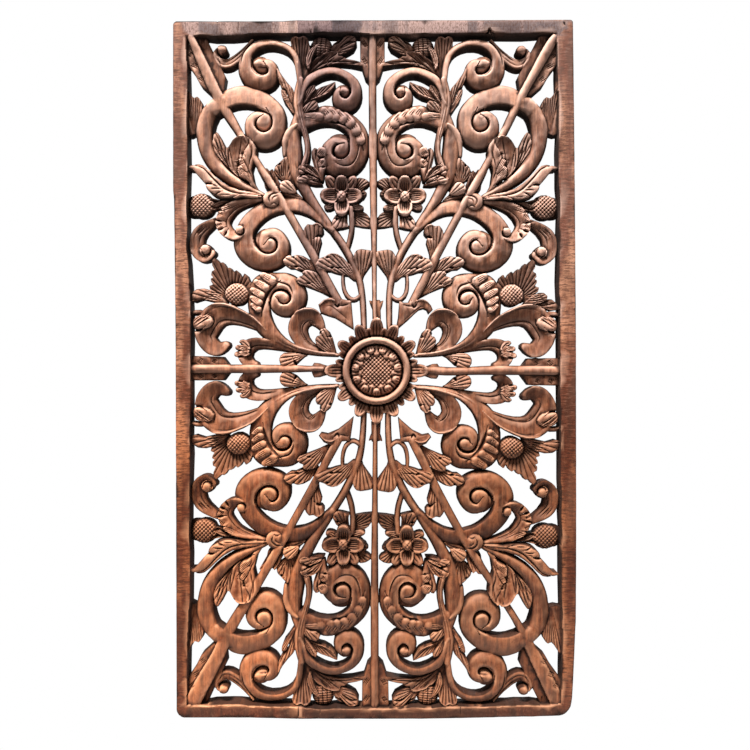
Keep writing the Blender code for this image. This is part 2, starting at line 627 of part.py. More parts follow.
def cut(panel, operation, other):
    """Union with, or difference from, an object or a whole collection, which is then removed.
    The solver is MANIFOLD: every operand is closed, and EXACT leaves open edges where so many
    of the carved shapes lie over each other."""
    change = panel.modifiers.new(operation.lower(), "BOOLEAN")
    change.operation = operation
    change.solver = "MANIFOLD"
    if isinstance(other, bpy.types.Collection):
        change.operand_type = "COLLECTION"
        change.collection = other
        used = list(other.objects)
    else:
        change.object = other
        used = [other]
    apply_modifiers(panel)
    for item in used:
        bpy.data.objects.remove(item)


def plane_back(panel, collection):
    """Plane the carving off flush with the back of the board."""
    behind = [(-WIDTH, -HEIGHT), (WIDTH, -HEIGHT), (WIDTH, HEIGHT), (-WIDTH, HEIGHT)]
    cut(panel, "DIFFERENCE", board("behind", [behind], -DEPTH, 0.0, collection))


def thin_out(panel):
    """Leave TRIANGLE_BUDGET facets, with the back still flat."""
    thin = panel.modifiers.new("thin", "DECIMATE")
    thin.ratio = min(1.0, TRIANGLE_BUDGET / len(panel.data.polygons))
    apply_modifiers(panel)
    for vertex in panel.data.vertices:
        if vertex.co.y > -BACK_TRUE * MM:
            vertex.co.y = 0.0


def main():
    clear_scene()
    kept = new_collection("carved_wall_panel")
    carving = new_collection("carving")
    panel = make_corona(kept)
    make_medallion(carving)
    make_shafts(carving)
    for quarter in QUARTERS:
        make_quarter(quarter, carving)
    cut(panel, "UNION", carving)
    plane_back(panel, carving)
    mend(panel)
    thin_out(panel)
    mend(panel)
    cut(panel, "UNION", make_border(carving))
    mend(panel)
    bpy.data.collections.remove(carving)
    panel.data.materials.clear()
    panel.data.materials.append(make_wood())


main()
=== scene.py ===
"""Looks of the carved wall panel: the whole relief as one mesh, aged wood, light and camera.

The relief is carved as a height map, in millimetres: u to the right, v up, h out of the
wall. One quarter at a time is carved in its own first-quadrant frame, x away from the
upright middle line and y away from the level one, and then mirrored into place. Each stem,
leaf or dome is shaped and cut on a small map of its own; where maps overlap the higher shows.
"""
import math
import bpy
import numpy as np
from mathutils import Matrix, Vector


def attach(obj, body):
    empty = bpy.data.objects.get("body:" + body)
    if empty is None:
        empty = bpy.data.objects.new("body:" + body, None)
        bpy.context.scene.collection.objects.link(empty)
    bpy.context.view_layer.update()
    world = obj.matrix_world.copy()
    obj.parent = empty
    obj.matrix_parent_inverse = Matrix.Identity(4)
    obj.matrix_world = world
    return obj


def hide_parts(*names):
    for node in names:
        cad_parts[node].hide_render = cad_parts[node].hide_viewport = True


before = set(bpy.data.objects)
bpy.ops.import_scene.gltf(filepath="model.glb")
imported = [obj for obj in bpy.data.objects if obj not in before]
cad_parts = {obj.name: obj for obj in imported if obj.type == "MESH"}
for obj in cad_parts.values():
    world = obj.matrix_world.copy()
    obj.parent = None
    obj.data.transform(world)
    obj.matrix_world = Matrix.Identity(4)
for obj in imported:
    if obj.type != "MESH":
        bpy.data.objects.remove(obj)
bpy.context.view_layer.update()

# The panel's sizes in millimetres, the step of the height maps, how far past the wood they
# reach, and how many triangles the visible mesh is thinned to.
MM = 0.001
STEP = 1.0
WIDTH = 610.0
HEIGHT = 1065.0
DEPTH = 30.0
MARGIN = 3.0
FACET_BUDGET = 195000

# The quarters, and how each is mirrored: sideways and end over end.
QUARTERS = {"upper_right": (1, 1), "upper_left": (-1, 1), "lower_left": (-1, -1), "lower_right": (1, -1)}

# Stems and scrolls: (x, y, half width) along the middle line, the crown's level at the start
# and at the end, how far the section's edges drop, and its kind: 0 for a round one, 2 or -2 for
# one that keeps its left or right edge high, and 1 or -1 for one that falls away in a hollow
# curve from a raised left or right lip. Last, how dark it is.
STEMS = {
    "top_volute": ([(105, 415, 4), (108, 458, 4.8), (119, 487, 5.5), (150, 499.5, 6.2), (176, 492, 7.5),
        (188, 474, 9), (188, 453, 11), (177, 440, 11.5), (163, 436.5, 11.5), (150, 442, 10),
        (145, 455, 8), (150, 466, 7.5), (161, 468.5, 7.2), (170, 466, 6)], 26, 27, 11, -2, 0),
    "corner_volute": ([(238, 399, 12), (222, 411, 13.5), (188, 420, 15.5), (153, 406, 13),
        (139, 391, 11), (138, 374, 11), (144, 357, 12.6), (160, 348, 13), (177, 356, 11.5),
        (183, 371, 9), (180, 383, 8), (171, 388.5, 7.5), (161.5, 378.5, 14)], 28, 28, 15, 2, -0.1),
    "hook_volute": ([(108, 405, 4), (103, 428, 6), (92, 443, 6.5), (60, 456, 6.2), (32, 446, 7.4),
        (22, 430, 8.5), (23.5, 413, 9.5), (34, 403, 10), (46, 405, 9.5), (52.5, 416, 7), (49, 426, 5.8),
        (42, 426.5, 5.8), (37.5, 423.5, 5.2)], 27, 26, 11, 2, -0.05),
    "bead_volute": ([(105, 372, 9), (82, 388, 14), (48, 386, 14), (20, 362, 14.5), (17, 340, 15),
        (23, 320, 15), (38, 307, 14), (55, 308, 14), (68, 319, 12), (69, 334, 9.5), (61, 346, 8),
        (50, 349.5, 7), (41, 344, 7.5), (45, 334.5, 12.5)], 25, 26, 11, 2, 0),
    "comma_volute": ([(62, 212, 6), (90, 239, 9.5), (125, 250, 12), (165, 240, 13.5), (193, 212, 14.5),
        (197, 192, 16), (190, 174, 15.5), (167, 162, 14), (144, 167, 12), (135.5, 184, 10),
        (140, 199, 8.5), (152, 206.5, 8), (164, 202, 8), (159.5, 187, 13.2)], 23, 27, 14, -2, 0),
    "low_bead_volute": ([(62, 21, 3), (95, 23.5, 4), (139, 37, 8), (171, 68, 15), (177, 106, 17),
        (168, 129, 17), (149, 134.5, 13), (131, 133, 13), (118, 121, 12.5), (115.5, 106, 11.5),
        (124, 93, 11), (139, 88.5, 9.5), (150, 93, 8.5), (153.5, 104, 7), (148, 114, 6.2),
        (139.5, 108, 9.5)], 22, 26, 12, 2, 0),
    "long_stem": ([(109, 395, 5), (117, 355, 11), (117, 335, 13), (112, 298, 11), (85, 246, 7.5),
        (54, 200, 6.2), (35, 165, 6.3), (24, 125, 5.5), (23, 60, 4.6)], 24, 20, 9, 0, 0),
    "long_stem_fold": ([(112, 374, 2.5), (122, 364, 5), (129, 348, 5), (131, 326, 3)],
        26, 20, 4, 0, -0.2),
    "trunk": ([(106, 300, 5), (97.5, 326, 4.5), (97, 348, 4.5), (104, 378, 6), (109, 410, 7.5),
        (106, 442, 5)], 26, 26, 6, 0, 0),
    "side_stem": ([(163, 262, 4), (203, 283, 8.5), (241, 318, 11.5), (252, 356, 13), (250, 376, 13),
        (241, 397, 12.5), (224, 411, 11)], 22, 28, 12, 0, 0),
    "flower_stalk": ([(33, 246, 4), (33, 212, 4.3), (42, 182, 4)], 22, 18, 5, 0, 0.1),
    "loop": ([(49, 148, 2.5), (50, 130, 3), (46, 113, 3.6), (36, 106, 3.4), (24, 114, 3)],
        20, 20, 4, 0, 0),
    "top_curl": ([(178, 503, 2.5), (199, 477, 7), (219, 466, 8.5), (229, 472, 6.5), (233, 482, 4.6),
        (226, 490, 4)], 22, 23, 5, -1, 0),
    "big_leaf": ([(148, 43, 3), (182, 66, 8), (225, 82, 16), (246, 76, 20), (257, 60, 19),
        (259, 45, 15), (246, 30, 12), (229, 35, 6)], 22, 27, 3, 1, 0.25),
    "small_leaf": ([(130, 27, 3), (168, 37, 8), (185, 37, 10), (197, 30, 12), (200, 18, 11),
        (194, 9, 8), (184, 7, 4)], 20, 24, 3, 1, 0.2),
    "inner_leaf": ([(64, 22, 3), (100, 33, 8), (113, 44, 12), (119, 60, 15), (112, 75, 15),
        (98, 79, 13), (84, 62, 5)], 21, 26, 3, -1, 0.15),
    "curl_leaf": ([(164, 257, 2.5), (204, 247, 8), (220, 236, 11), (227, 221, 11), (220, 207, 9.5),
        (205, 201, 5.5), (196, 208, 4.5)], 22, 27, 3, 1, 0),
    "side_curl_leaf": ([(238, 224, 5), (263, 204, 11), (268, 190, 11.5), (266, 176, 10),
        (256, 168, 7.5), (244, 175, 5)], 21, 25, 3, 1, 0.25),
}

# The diagonal arrow shafts, which the carver made broader and flatter in the lower quarters:
# (x, y, half width) from the corner to where they join a common foot at the head, the levels at
# both ends, and how far the edges drop.
SHAFT_FOOT = [(138, 254, 6.2), (57.5, 102, 6.3)]
DIAGONAL_SHAFTS = {
    "upper_right": (
        [(275, 508, 5.5), (265, 490, 7.2), (237, 440, 6.2), (216, 400, 6.6), (194, 355, 5.9)],
        30, 23, 6),
    "upper_left": ([(274, 508, 5.5), (247, 450, 8), (225, 405, 8.3), (211, 382, 7.3), (196, 356, 5.6)],
        30, 23, 6),
    "lower_left": ([(272, 503, 12), (251, 467, 11.3), (233, 437, 9.8), (215, 398, 9), (191, 357, 7.7)],
        29, 23, 3.5),
    "lower_right": ([(276, 503, 11), (251, 453, 10), (238, 427, 8.5), (222, 393, 6), (200, 355, 5.2)],
        28, 23, 4),
}

# The kind of a stem with a round section.
ROUND = 0

# How far a lipped section falls from its raised edge, how fast, the half width from which it
# falls that far, and how gently its outer and its lipped edge roll over.
LIP_FALL = 9.0
LIP_POWER = 0.75
LIP_FULL_WIDTH = 9.0
LIP_ROLLS = (1.7, 1.0)

# A scroll's ends have an even section, over a length given in half widths, that falls by a
# share of the scroll's own fall. Its edges roll over: how gently and how far.
EYE_REACH = 1.6
EYE_FALL = 0.36
SCROLL_ROLL = (1.2, 2.0)

# Grooves that run along a stem: where across it (-1 right edge, 1 left edge), from and to as
# shares of its length, width and depth. They fade out at their ends.
GROOVE_FADE = 8.0
STEM_GROOVES = {
    "scale": [(-0.45, 0.0, 0.85, 0.6, 1.5), (0.0, 0.0, 0.85, 0.6, 1.5), (0.45, 0.0, 0.85, 0.6, 1.5)],
    "big_leaf": [(-0.5, 0.12, 0.88, 1.0, 2.2), (-0.62, 0.3, 0.7, 0.8, 1.2),
        (0.68, 0.3, 0.62, 1.0, 1.4)],
    "small_leaf": [(-0.25, 0.2, 0.9, 1.0, 2.2)],
    "inner_leaf": [(0.45, 0.15, 0.85, 0.9, 2.0), (0.25, 0.2, 0.75, 0.8, 1.5)],
    "side_curl_leaf": [(-0.35, 0.1, 0.6, 0.9, 2.0), (0.1, 0.15, 0.45, 0.8, 1.6),
        (0.4, 0.2, 0.5, 0.8, 1.4)],
    "curl_leaf": [(-0.45, 0.1, 0.8, 0.9, 1.8), (-0.2, 0.15, 0.5, 0.8, 1.4), (0.1, 0.2, 0.5, 0.8, 1.2)],
    "top_curl": [(0.35, 0.1, 0.6, 0.9, 2.2), (-0.3, 0.2, 0.9, 0.8, 1.3)],
    "trunk": [(0.35, 0.0, 0.75, 0.9, 1.6), (-0.25, 0.25, 1.0, 0.9, 1.4)],
    "low_bead_volute": [(0.12, 0.08, 0.3, 1.2, 2.6), (-0.35, 0.08, 0.3, 1.1, 2.2)],
    "bead_volute": [(0.25, 0.08, 0.4, 1.0, 1.2)],
}

# Leaves: base, middle and tip of the midrib, the greatest half width, the level at the base
# and at the tip, how blunt the tip is (0 a point, 1 round), the crown of the section (less
# than 0 for a cupped one), the number of veins and how dark the leaf is.
LEAVES = {
    "berry_sepal": ((93, 458), (90, 480), (75, 497), 6, 22, 24, 0, 3, 2, 0.1),
    "shell_low": ((106, 258), (121, 264), (138, 268), 6, 17, 20, 1, 4, 1, 0.4),
    "berry_sheath": ((205, 252), (234, 252), (257, 266), 7, 14, 21, 0, -2, 3, 0.4),
    "berry_sheath_low": ((208, 252), (230, 248), (252, 240), 8, 16, 21, 0, -2, 3, 0.35),
    "small_lobe_top": ((193, 30), (200, 38), (207, 40), 5, 22, 22, 1, 2, 1, 0.2),
    "small_lobe_middle": ((194, 26), (205, 30), (213, 31), 5.5, 22, 23, 1, 2, 3, 0.1),
    "small_lobe_low": ((194, 22), (206, 22), (215, 20), 5.5, 22, 23, 1, 2, 3, 0.1),
    "sepal_top_left": ((44, 268), (34, 280), (26, 292), 9, 17, 24, 1, 3, 2, 0.05),
    "sepal_top_right": ((50, 268), (59, 281), (67, 292), 9, 17, 24, 1, 3, 2, 0.05),
    "sepal_low_left": ((44, 258), (30, 250), (14, 246), 6.5, 18, 21, 1, 3, 3, -0.1),
    "sepal_low_right": ((52, 258), (62, 251), (71, 246), 7, 18, 21, 1, 3, 3, -0.1),
}
VEIN_WIDTH = 0.85
VEIN_DEPTH = 1.9

# A leaf's level rises with a power of the length, its veins spread over a share of its width,
# and its edges roll over: how gently and how far.
LEAF_POWER = 1.3
VEIN_SPREAD = 0.72
LEAF_ROLL = (0.9, 1.6)

# The same for broad foliage, and how softly its outline and its crown are rounded. Only the
# outline's points beyond a share of its length count for the spread of the veins.
FOLIAGE_POWER = 1.2
FOLIAGE_ROLL = (0.9, 1.2)
OUTLINE_BLUR = 0.8
CROWN_REACH = 3.5
FAR_SHARE = 0.45

# Broad foliage: the outline, the point its veins spread from, the level there and at the far
# edge, the crown (less than 0 for a cupped one), the number of veins and how dark it is.
FOLIAGE = {
    "fan": ([(101, 440), (95, 455), (91, 470), (90, 486), (92, 499), (97, 506.5), (102, 508),
        (107, 504.5), (113, 508), (118, 505), (120, 499), (117, 489), (112, 470), (108, 452),
        (106, 440)], (104, 440), 14, 26, -1.5, 8, 0.25),
    "bridge": ([(11, 462), (13, 468), (24, 471), (36, 473), (43, 477.5), (48, 477), (49, 484),
        (60, 484.5), (72, 480), (84, 472), (93, 464), (101, 450), (97, 447), (85, 457), (70, 463),
        (50, 466), (30, 465)], (100, 448), 15, 23, -1.5, 4, 0.4),
    "bud": ([(20, 500), (22, 507), (30, 509.5), (38, 509), (45, 503), (56, 496), (60, 487), (52, 480),
        (45, 478), (35, 483), (25, 490)], (60, 480), 15, 24, 2, 6, 0.2),
    "spear": ([(52, 439), (56, 430), (63, 422), (73, 416), (84, 413), (93, 410), (101, 399), (108, 388),
        (105, 403), (96, 416), (86, 425), (76, 430), (64, 434)], (108, 388), 20, 26, -1.5, 6, -0.05),
    "spear_up": (
        [(84, 434), (83, 427), (92, 417), (100, 407), (107, 394), (108, 405), (100, 420), (92, 431)],
        (107, 394), 21, 28, -1, 4, 0.05),
    "spear_low": ([(80, 406), (79, 400), (84, 395.5), (92, 395.5), (100, 391), (106, 383), (108, 391),
        (100, 402), (92, 408), (84, 410)], (106, 384), 22, 27, 1, 4, 0),
    "outer_long": ([(111, 388), (114, 404), (113, 418), (117, 429), (125, 438), (133, 449), (141, 463),
        (139.5, 446), (136, 436), (133, 430), (127, 427), (122, 412), (115, 396)], (111, 386),
        20, 25, 1, 4, 0),
    "outer_short": ([(112, 388), (118, 402), (124, 415), (128, 425), (134.5, 427.5), (134, 419),
        (131, 411), (125, 403), (118, 392)], (111, 386), 21, 26, 1, 4, 0),
    "twin_lobe": ([(75, 285), (75, 298), (76, 310), (79, 320), (80, 330), (81, 336.5), (86, 338),
        (90, 333), (90.5, 322), (88, 312), (84, 300), (78, 287)], (78, 284), 19, 25.5, 1, 3, 0.05),
    "twin_top": ([(68, 326), (67, 332), (69.5, 337.5), (74, 339.5), (79, 338), (83, 332), (81, 325),
        (76, 321), (70, 321.5)], (80, 316), 24, 26.5, 1, 0, -0.1),
    "twin_low": ([(67.5, 312), (68.5, 319), (73, 322), (78.5, 320), (81, 314), (79, 303), (77, 292),
        (74, 285), (72, 296), (70, 305)], (76, 290), 20, 25.5, 1, 0, 0),
    "tongue": ([(76, 288), (82, 301.5), (88, 308), (95, 311.5), (103, 312), (109, 310), (111.5, 305),
        (108, 300.5), (98, 299.5), (86, 294)], (74, 286), 20, 26, -1, 4, 0.05),
    "tongue_band": ([(78, 290), (90, 298.5), (100, 301), (109, 300), (116, 295), (113, 292),
        (104, 295.5), (92, 294.5), (82, 289)], (76, 286), 18, 22, -1, 1, 0.3),
    "tongue_middle": ([(74, 284), (86, 291.5), (96, 295.5), (106, 295), (113, 290.5), (113, 285),
        (106, 282), (99, 284), (96, 288.5), (88, 288)], (72, 282), 20, 26, 0.8, 3, -0.1),
    "tongue_low": ([(72, 281), (84, 288), (94, 290), (100, 286.5), (97, 282.5), (86, 280)], (70, 280),
        17, 22, 1, 2, 0.4),
    "under_stem": ([(116, 278), (120, 300), (128, 324), (140, 313), (145, 308), (148, 300), (143, 291),
        (134, 284)], (130, 280), 14, 22, 1.5, 6, 0.15),
    "knot_fan": ([(136, 275), (142, 288), (147, 298), (149, 304), (154, 300), (157, 305), (164, 306),
        (173, 303.5), (168, 292), (163, 281), (162, 273), (150, 272)], (142, 271),
        17, 26, -1.5, 9, 0.05),
    "shell": ([(113, 267), (118, 278), (124, 284), (131, 285), (137, 281), (139.5, 275), (138, 269),
        (130, 266), (120, 265)], (110, 262), 19, 27, 3, 4, -0.2),
    "heart_left": ([(170, 268), (178, 284), (181, 303), (178, 315), (174, 325), (172.5, 335),
        (175, 343), (180, 349.5), (187, 354.5), (190, 351), (187, 345), (188, 338), (192, 330),
        (196, 318), (193, 305), (190, 292), (183, 277)], (172, 270), 21, 30, 1, 2, -0.05),
    "heart_right": ([(187, 351), (191, 355), (197, 356), (203, 354), (209, 348), (213, 341), (216, 337),
        (218.5, 338), (218.5, 325), (216, 312), (212, 302), (206, 294), (201, 290), (200, 302),
        (198, 314), (196, 322), (191, 332), (187, 341)], (205, 290), 21, 29.5, -2, 2, 0.1),
    "heart_curl": ([(184, 284), (187, 296), (193, 306), (198, 310), (201.5, 307), (201.5, 298),
        (199, 292), (192, 286)], (180, 278), 24, 29, 0.8, 0, 0),
    "heart_curl_top": (
        [(185, 300), (189, 311), (193, 319), (197.5, 321.5), (200, 317), (197, 308), (190, 299)],
        (182, 292), 25, 29.5, 0.8, 0, 0),
    "heart_side": ([(204, 291), (212, 299), (217, 312), (218.5, 325), (218, 337), (221, 342),
        (225, 350), (229, 358), (232.5, 362), (237, 358), (240, 345), (235, 325), (225, 308),
        (212, 294)], (205, 286), 16, 25, 1, 5, 0.1),
    "edge_leaf": ([(264, 360), (259, 374), (256, 390), (254.5, 404), (258, 412), (262, 415.5),
        (267, 413), (272, 418), (280, 431), (286, 431), (286, 362), (274, 357)], (266, 346),
        17, 26, -1, 8, 0.12),
    "palm": ([(190, 112), (187, 130), (191, 141), (196, 145), (200, 138), (204, 146), (208, 149.5),
        (212, 146), (217, 153), (222, 152), (228, 161), (233, 160), (240, 168), (245, 163), (245, 156),
        (241, 149), (246, 147), (247, 141), (243, 137.5), (248, 136), (247, 131), (244, 127),
        (251, 125), (249, 118), (240, 111), (226, 102), (210, 100)], (216, 104),
        11, 25, -1.5, 13, 0.35),
    "side_leaf": ([(63, 22), (66, 35), (69, 47), (73, 57), (79, 62), (85, 60), (88.5, 55), (86, 50),
        (91, 50.5), (94, 44), (92, 36), (86, 30), (76, 24)], (64, 20), 18, 26, 1.5, 6, 0),
    "low_leaf": ([(104, 20), (110, 18), (118, 11), (123, 6), (130, 3), (138, 2), (145, 4), (148, 9),
        (148.5, 15), (146, 20), (140, 24.5), (125, 24), (112, 22)], (104, 22), 17, 24, 1.5, 5, 0),
    "pad_leaf": ([(86, 163), (84, 178), (79, 194), (80, 200), (85, 202.5), (79, 203), (75.5, 208),
        (75.5, 214), (79, 219.5), (85, 222), (92, 218.5), (99, 219.5), (104, 213), (106, 204),
        (104, 190), (98, 174)], (92, 160), 16, 25, 1.5, 6, 0),
    "axis_leaf": ([(23, 128), (18, 143), (10, 154), (4, 162), (1.5, 170), (3, 180), (10, 181.5),
        (20, 183), (27, 181), (31, 175), (33, 167), (32, 158), (30, 145)], (24, 126),
        15, 25, 1.5, 6, 0),
    "mid_leaf": ([(24, 134), (32, 153), (40, 161), (48, 169.5), (56, 175), (64, 176.5), (70, 174.5),
        (75, 171), (84, 168), (90, 158), (84, 151.5), (76, 149.5), (68, 149), (60, 146), (50, 143.5),
        (42, 142), (34, 135)], (26, 130), 17, 26, 1.5, 7, -0.05),
    "shaft_leaf": ([(86, 146), (91, 157), (97, 166), (107, 171.5), (116, 173), (121.5, 171), (127, 172),
        (133, 169.5), (137.5, 164), (135, 158), (128, 153), (121, 153), (114, 149.5), (105, 147),
        (96, 141)], (90, 142), 16, 26, 1.5, 6, 0),
    "shaft_leaf_low": ([(67, 108), (75, 125), (82, 138), (89, 147), (99, 150), (106, 150), (110.5, 146),
        (108, 142.5), (114, 140.5), (119, 136), (116, 130), (108, 127), (98, 123), (84, 117)],
        (72, 110), 16, 25, 1.5, 6, 0.05),
    "flower_leaf_top": (
        [(2, 286), (10, 291), (20, 293), (27, 288), (29, 278), (22, 270), (14, 275), (6, 280)],
        (30, 270), 14, 20, 1, 6, 0),
    "flower_leaf_side": ([(7, 270), (14, 275), (24, 272), (26, 264), (20, 258.5), (12, 262)], (30, 264),
        13, 17, 1, 5, 0.35),
    "flower_leaf_low": (
        [(2, 217), (3, 230), (8, 237), (14, 241), (32, 242), (36, 232), (30, 220), (15, 217)],
        (38, 240), 13, 19, -1, 8, 0.25),
    "flower_leaf_curl": ([(38, 240), (39, 227), (37, 217), (48, 214.5), (57, 213.5), (61, 217),
        (62.5, 224), (58, 233), (52, 240)], (42, 242), 15, 23, 1.5, 5, 0),
    "long_leaf": ([(160, 259), (180, 263), (190, 264), (205, 266), (217, 270), (227, 276), (236, 285),
        (245, 295), (254, 305), (263, 309.5), (272, 311), (281, 309), (279, 306), (272, 305),
        (267, 299), (259, 289), (252, 281), (243, 281), (252, 279.5), (250, 273), (246, 268),
        (240, 263), (232, 259.5), (220, 258.5), (207, 259), (195, 260.5), (180, 258)], (160, 256),
        24, 27.5, 1, 0, -0.2),
    "long_leaf_band": ([(163, 261), (180, 267), (200, 270.5), (215, 276), (227, 284), (237, 293),
        (246, 303), (255, 310.5), (262, 312.5), (272, 312), (263, 309), (254, 304), (245, 294),
        (236, 284), (227, 275), (217, 269), (205, 265), (190, 263)], (160, 258), 23, 25.5, 1, 0, 0.05),
    "big_lobe": ([(249, 77), (255, 80.5), (265, 80), (273, 78), (278, 72), (279, 64), (276, 59),
        (270, 56.5), (262, 58), (252, 62), (246, 70)], (236, 72), 23, 26, 2, 0, 0),
    "big_lobe_top": ([(254, 84), (265, 88.5), (275, 88), (284, 84), (284, 80), (272, 81), (262, 82)],
        (240, 84), 21, 23, 1, 0, 0.2),
}

# Flower petals on the flower's centre: direction in degrees, length, half width and how dark.
# All have the same levels, crown and number of veins.
FLOWER_CENTRE = (46.0, 264.0)
PETAL_FORM = (20, 27, -5, 5)
PETALS = [(3, 29, 12, 0), (178, 27, 12, 0), (90, 28, 11, 0.25), (-90, 26, 12, -0.1)]

# Domes: centre, radii along x and y, the level of the top, how far it rises and how dark it is.
DOMES = {
    "top_curl_eye": (224, 487, 8, 7.5, 25, 5, 0),
    "curl_eye": (201, 209, 7, 7, 27, 4, 0),
    "side_eye": (254, 178, 9, 8.5, 25, 3, 0),
    "side_ball": (274, 179, 5.5, 7, 21, 4, 0.1),
    "knot": (152.5, 256, 12.5, 13, 28, 5, 0),
    "side_berry": (259, 248, 20, 19, 25, 11, 0.15),
    "low_berry": (209, 113, 18, 17, 27, 12, 0.05),
    "top_berry": (74, 492, 17, 17, 23, 11, 0.2),
    "flower_knob": (46.5, 264, 7, 8, 28, 6, 0),
}

# Cross-cut domes: direction of the first set of cuts in degrees, their pitch and depth, and
# the second set's pitch.
CROSS_WIDTH = 0.9
CROSS_CUTS = {
    "side_berry": (45, 4.3, 1.5, 4.3),
    "low_berry": (50, 4.2, 1.5, 4.2),
    "top_berry": (4, 3.6, 1.6, 7.0),
    "flower_knob": (38, 4.0, 1.2, 5.0),
    "side_ball": (45, 3.2, 1.0, 3.2),
}

# Scales that overlap like a rope along the two beaded scrolls, inside the scroll's outer edge:
# where each one leaves the scroll, its rounded end and its half width. Then their level at both
# ends and the depth of the trough they lie in, by the half of the panel.
SCALES = {
    "bead_volute": [((101, 387), (71, 385), 6.2), ((71, 396), (60, 379.5), 7.2),
        ((61, 395.5), (50, 379), 7), ((50, 392.5), (38.5, 376), 7.2), ((39, 388), (27, 369), 7.6),
        ((28, 378), (19.5, 357), 7.2), ((19, 366), (14, 343), 6.8)],
    "low_bead_volute": [((168, 142), (149, 131), 6.5), ((179, 132), (160, 120.5), 5.8),
        ((185, 120), (167, 109.5), 5.4), ((186, 108), (171, 98), 5.2), ((186, 97), (173, 88), 4.6)],
}
SCALE_FORMS = {"upper": (23.5, 28, 7), "lower": (23, 27, 6)}
TROUGH_WIDTH = 2.6

# Webs left behind the curls, so that each curl is one with its scroll: centre, radius, level.
WEBS = {
    "top_volute": (166, 460, 18, 23),
    "corner_volute": (164, 376, 22, 22.5),
    "hook_volute": (41, 420, 15, 22),
    "bead_volute": (47, 335, 25, 21),
    "comma_volute": (158, 188, 25, 21),
    "low_bead_volute": (139, 110, 22, 22),
    "side_curl": (255, 177, 12, 14),
    "side_berry": (271, 247, 17, 14),
    "heart": (196, 325, 16, 15),
    "under_stem": (123, 287, 14, 13),
}
WEB_RISE = 3.0

# Flat parts of the arrows: feathers and heads, as outlines in order, their level and how dark.
# Their edges roll over: how gently and how far.
PLATE_ROLL = (1.5, 1.5)
PLATES = {
    "upright_feather": ([(-3, 518), (15.5, 518), (15.5, 470), (8, 446), (-3, 436)], 22, 0.05),
    "diagonal_feather_in": ([(281, 518), (253, 513), (235, 478), (218, 446), (222, 424), (236, 424)],
        19, 0.4),
    "diagonal_feather_out": ([(286, 518), (286, 476), (267, 450), (258, 434), (238, 417), (230, 420)],
        22, -0.1),
    "level_feather": ([(222, 0), (234, 17), (286, 17.5), (286, 0)], 21, 0.25),
    "upright_head": (
        [(-3, 106), (3.5, 106), (9, 104), (13.5, 105.5), (12, 99), (8, 88), (5, 76), (-3, 76)],
        21, 0.1),
    "level_head": ([(68, -3), (76, 4.5), (82, 6), (89, 8.5), (96, 9), (98.5, 5), (101, -3)], 21, -0.05),
    "diagonal_head": ([(38, 104), (45, 102), (56, 102), (62, 104), (68, 107), (74, 107), (80, 104.5),
        (86, 98), (89, 91), (83, 85), (80, 91), (75, 93), (68, 91), (61, 85), (53, 77), (45, 70),
        (38, 64), (32, 60), (36, 80)], 22, 0.15),
}

# The deep crescents under the ends of the scrolls: the line, the half width and the depth. On
# the hollow side the bank is wide, on the other narrower by the share BANK.
CRESCENTS = [
    ([(156.5, 463), (154.5, 457), (158, 452.5), (164, 451.5), (170, 454), (176, 461), (177.5, 468)],
        3.0, 11),
    ([(167, 386), (172, 382), (174.5, 376), (173, 369.5), (167, 364), (159.5, 362.5), (152.5, 366),
        (148.5, 374), (149, 383), (153, 392)], 3.0, 11),
    ([(46.5, 424), (46, 418.5), (41, 414.5), (36, 415), (31.5, 419.5), (30.5, 427), (34, 435)],
        2.6, 10),
    ([(46, 344.5), (53, 343), (57.5, 337), (57, 328.5), (50.5, 322.5), (42.5, 322), (35.5, 327),
        (32.5, 336), (34, 347)], 3.0, 11),
    ([(160.7, 193), (155, 198), (148.3, 196), (144.8, 189.5), (146, 182), (151, 176.5), (159.5, 174.5),
        (167.7, 176.5), (175, 183), (179, 192), (178, 201)], 2.6, 10),
    ([(147, 105), (142, 100), (136, 99), (130.5, 102.5), (128.5, 110), (133, 118.5), (143, 121.5),
        (152, 118.5), (158, 109), (159, 98)], 2.6, 10),
]
BANK = 0.4

# Thin raised rims: the line, the half width and the height.
RIMS = [
    ([(174, 345), (180, 350.5), (188, 354), (197, 355), (204, 352.5), (210, 346), (214, 339)], 1.2, 3),
    ([(77, 290), (82, 301), (88, 307.5), (95, 310.8), (103, 311)], 1.0, 2.5),
    ([(170, 62), (185, 77), (195, 84), (205, 88.5), (215, 93), (227, 97), (240, 98), (252, 96.5),
        (265, 92)], 2.3, 3.2),
    ([(84, 82), (92, 89), (102, 91.5), (113, 90), (122, 86), (129, 79)], 1.7, 3),
    ([(76, 285), (86, 291.5), (96, 294.8), (106, 294)], 1.0, 2),
    ([(50, 484), (60, 483.5), (72, 479), (84, 471), (93, 463)], 1.1, 3),
    ([(92, 498), (97, 505.5), (102, 507), (107, 504), (113, 507), (118.5, 504), (119, 498)], 1.1, 2.5),
    ([(22, 505), (30, 508.5), (38, 508)], 1.1, 2),
    ([(55, 433), (63, 423.5), (73, 417.5), (84, 414), (93, 411)], 1.0, 2.5),
    ([(101, 164), (109, 169.5), (116, 172)], 1.0, 2),
    ([(48, 169), (56, 174), (64, 175.5), (70, 173.5)], 1.0, 2),
    ([(62, 103), (68, 106), (74, 106), (80, 103.5), (86, 97)], 1.1, 3),
    ([(76, 214), (80, 218), (86, 220.5), (92, 217.5)], 1.0, 2),
    ([(200, 259.5), (210, 259.5), (221, 259.3), (232, 260.3), (240, 264)], 1.0, 2),
    ([(16.5, 343), (17.5, 334), (19.5, 326), (22.5, 319), (26.5, 313)], 0.9, 1.5),
    ([(31, 334), (35, 325), (43, 319.5), (51.5, 320), (57, 327)], 0.9, 1.5),
]

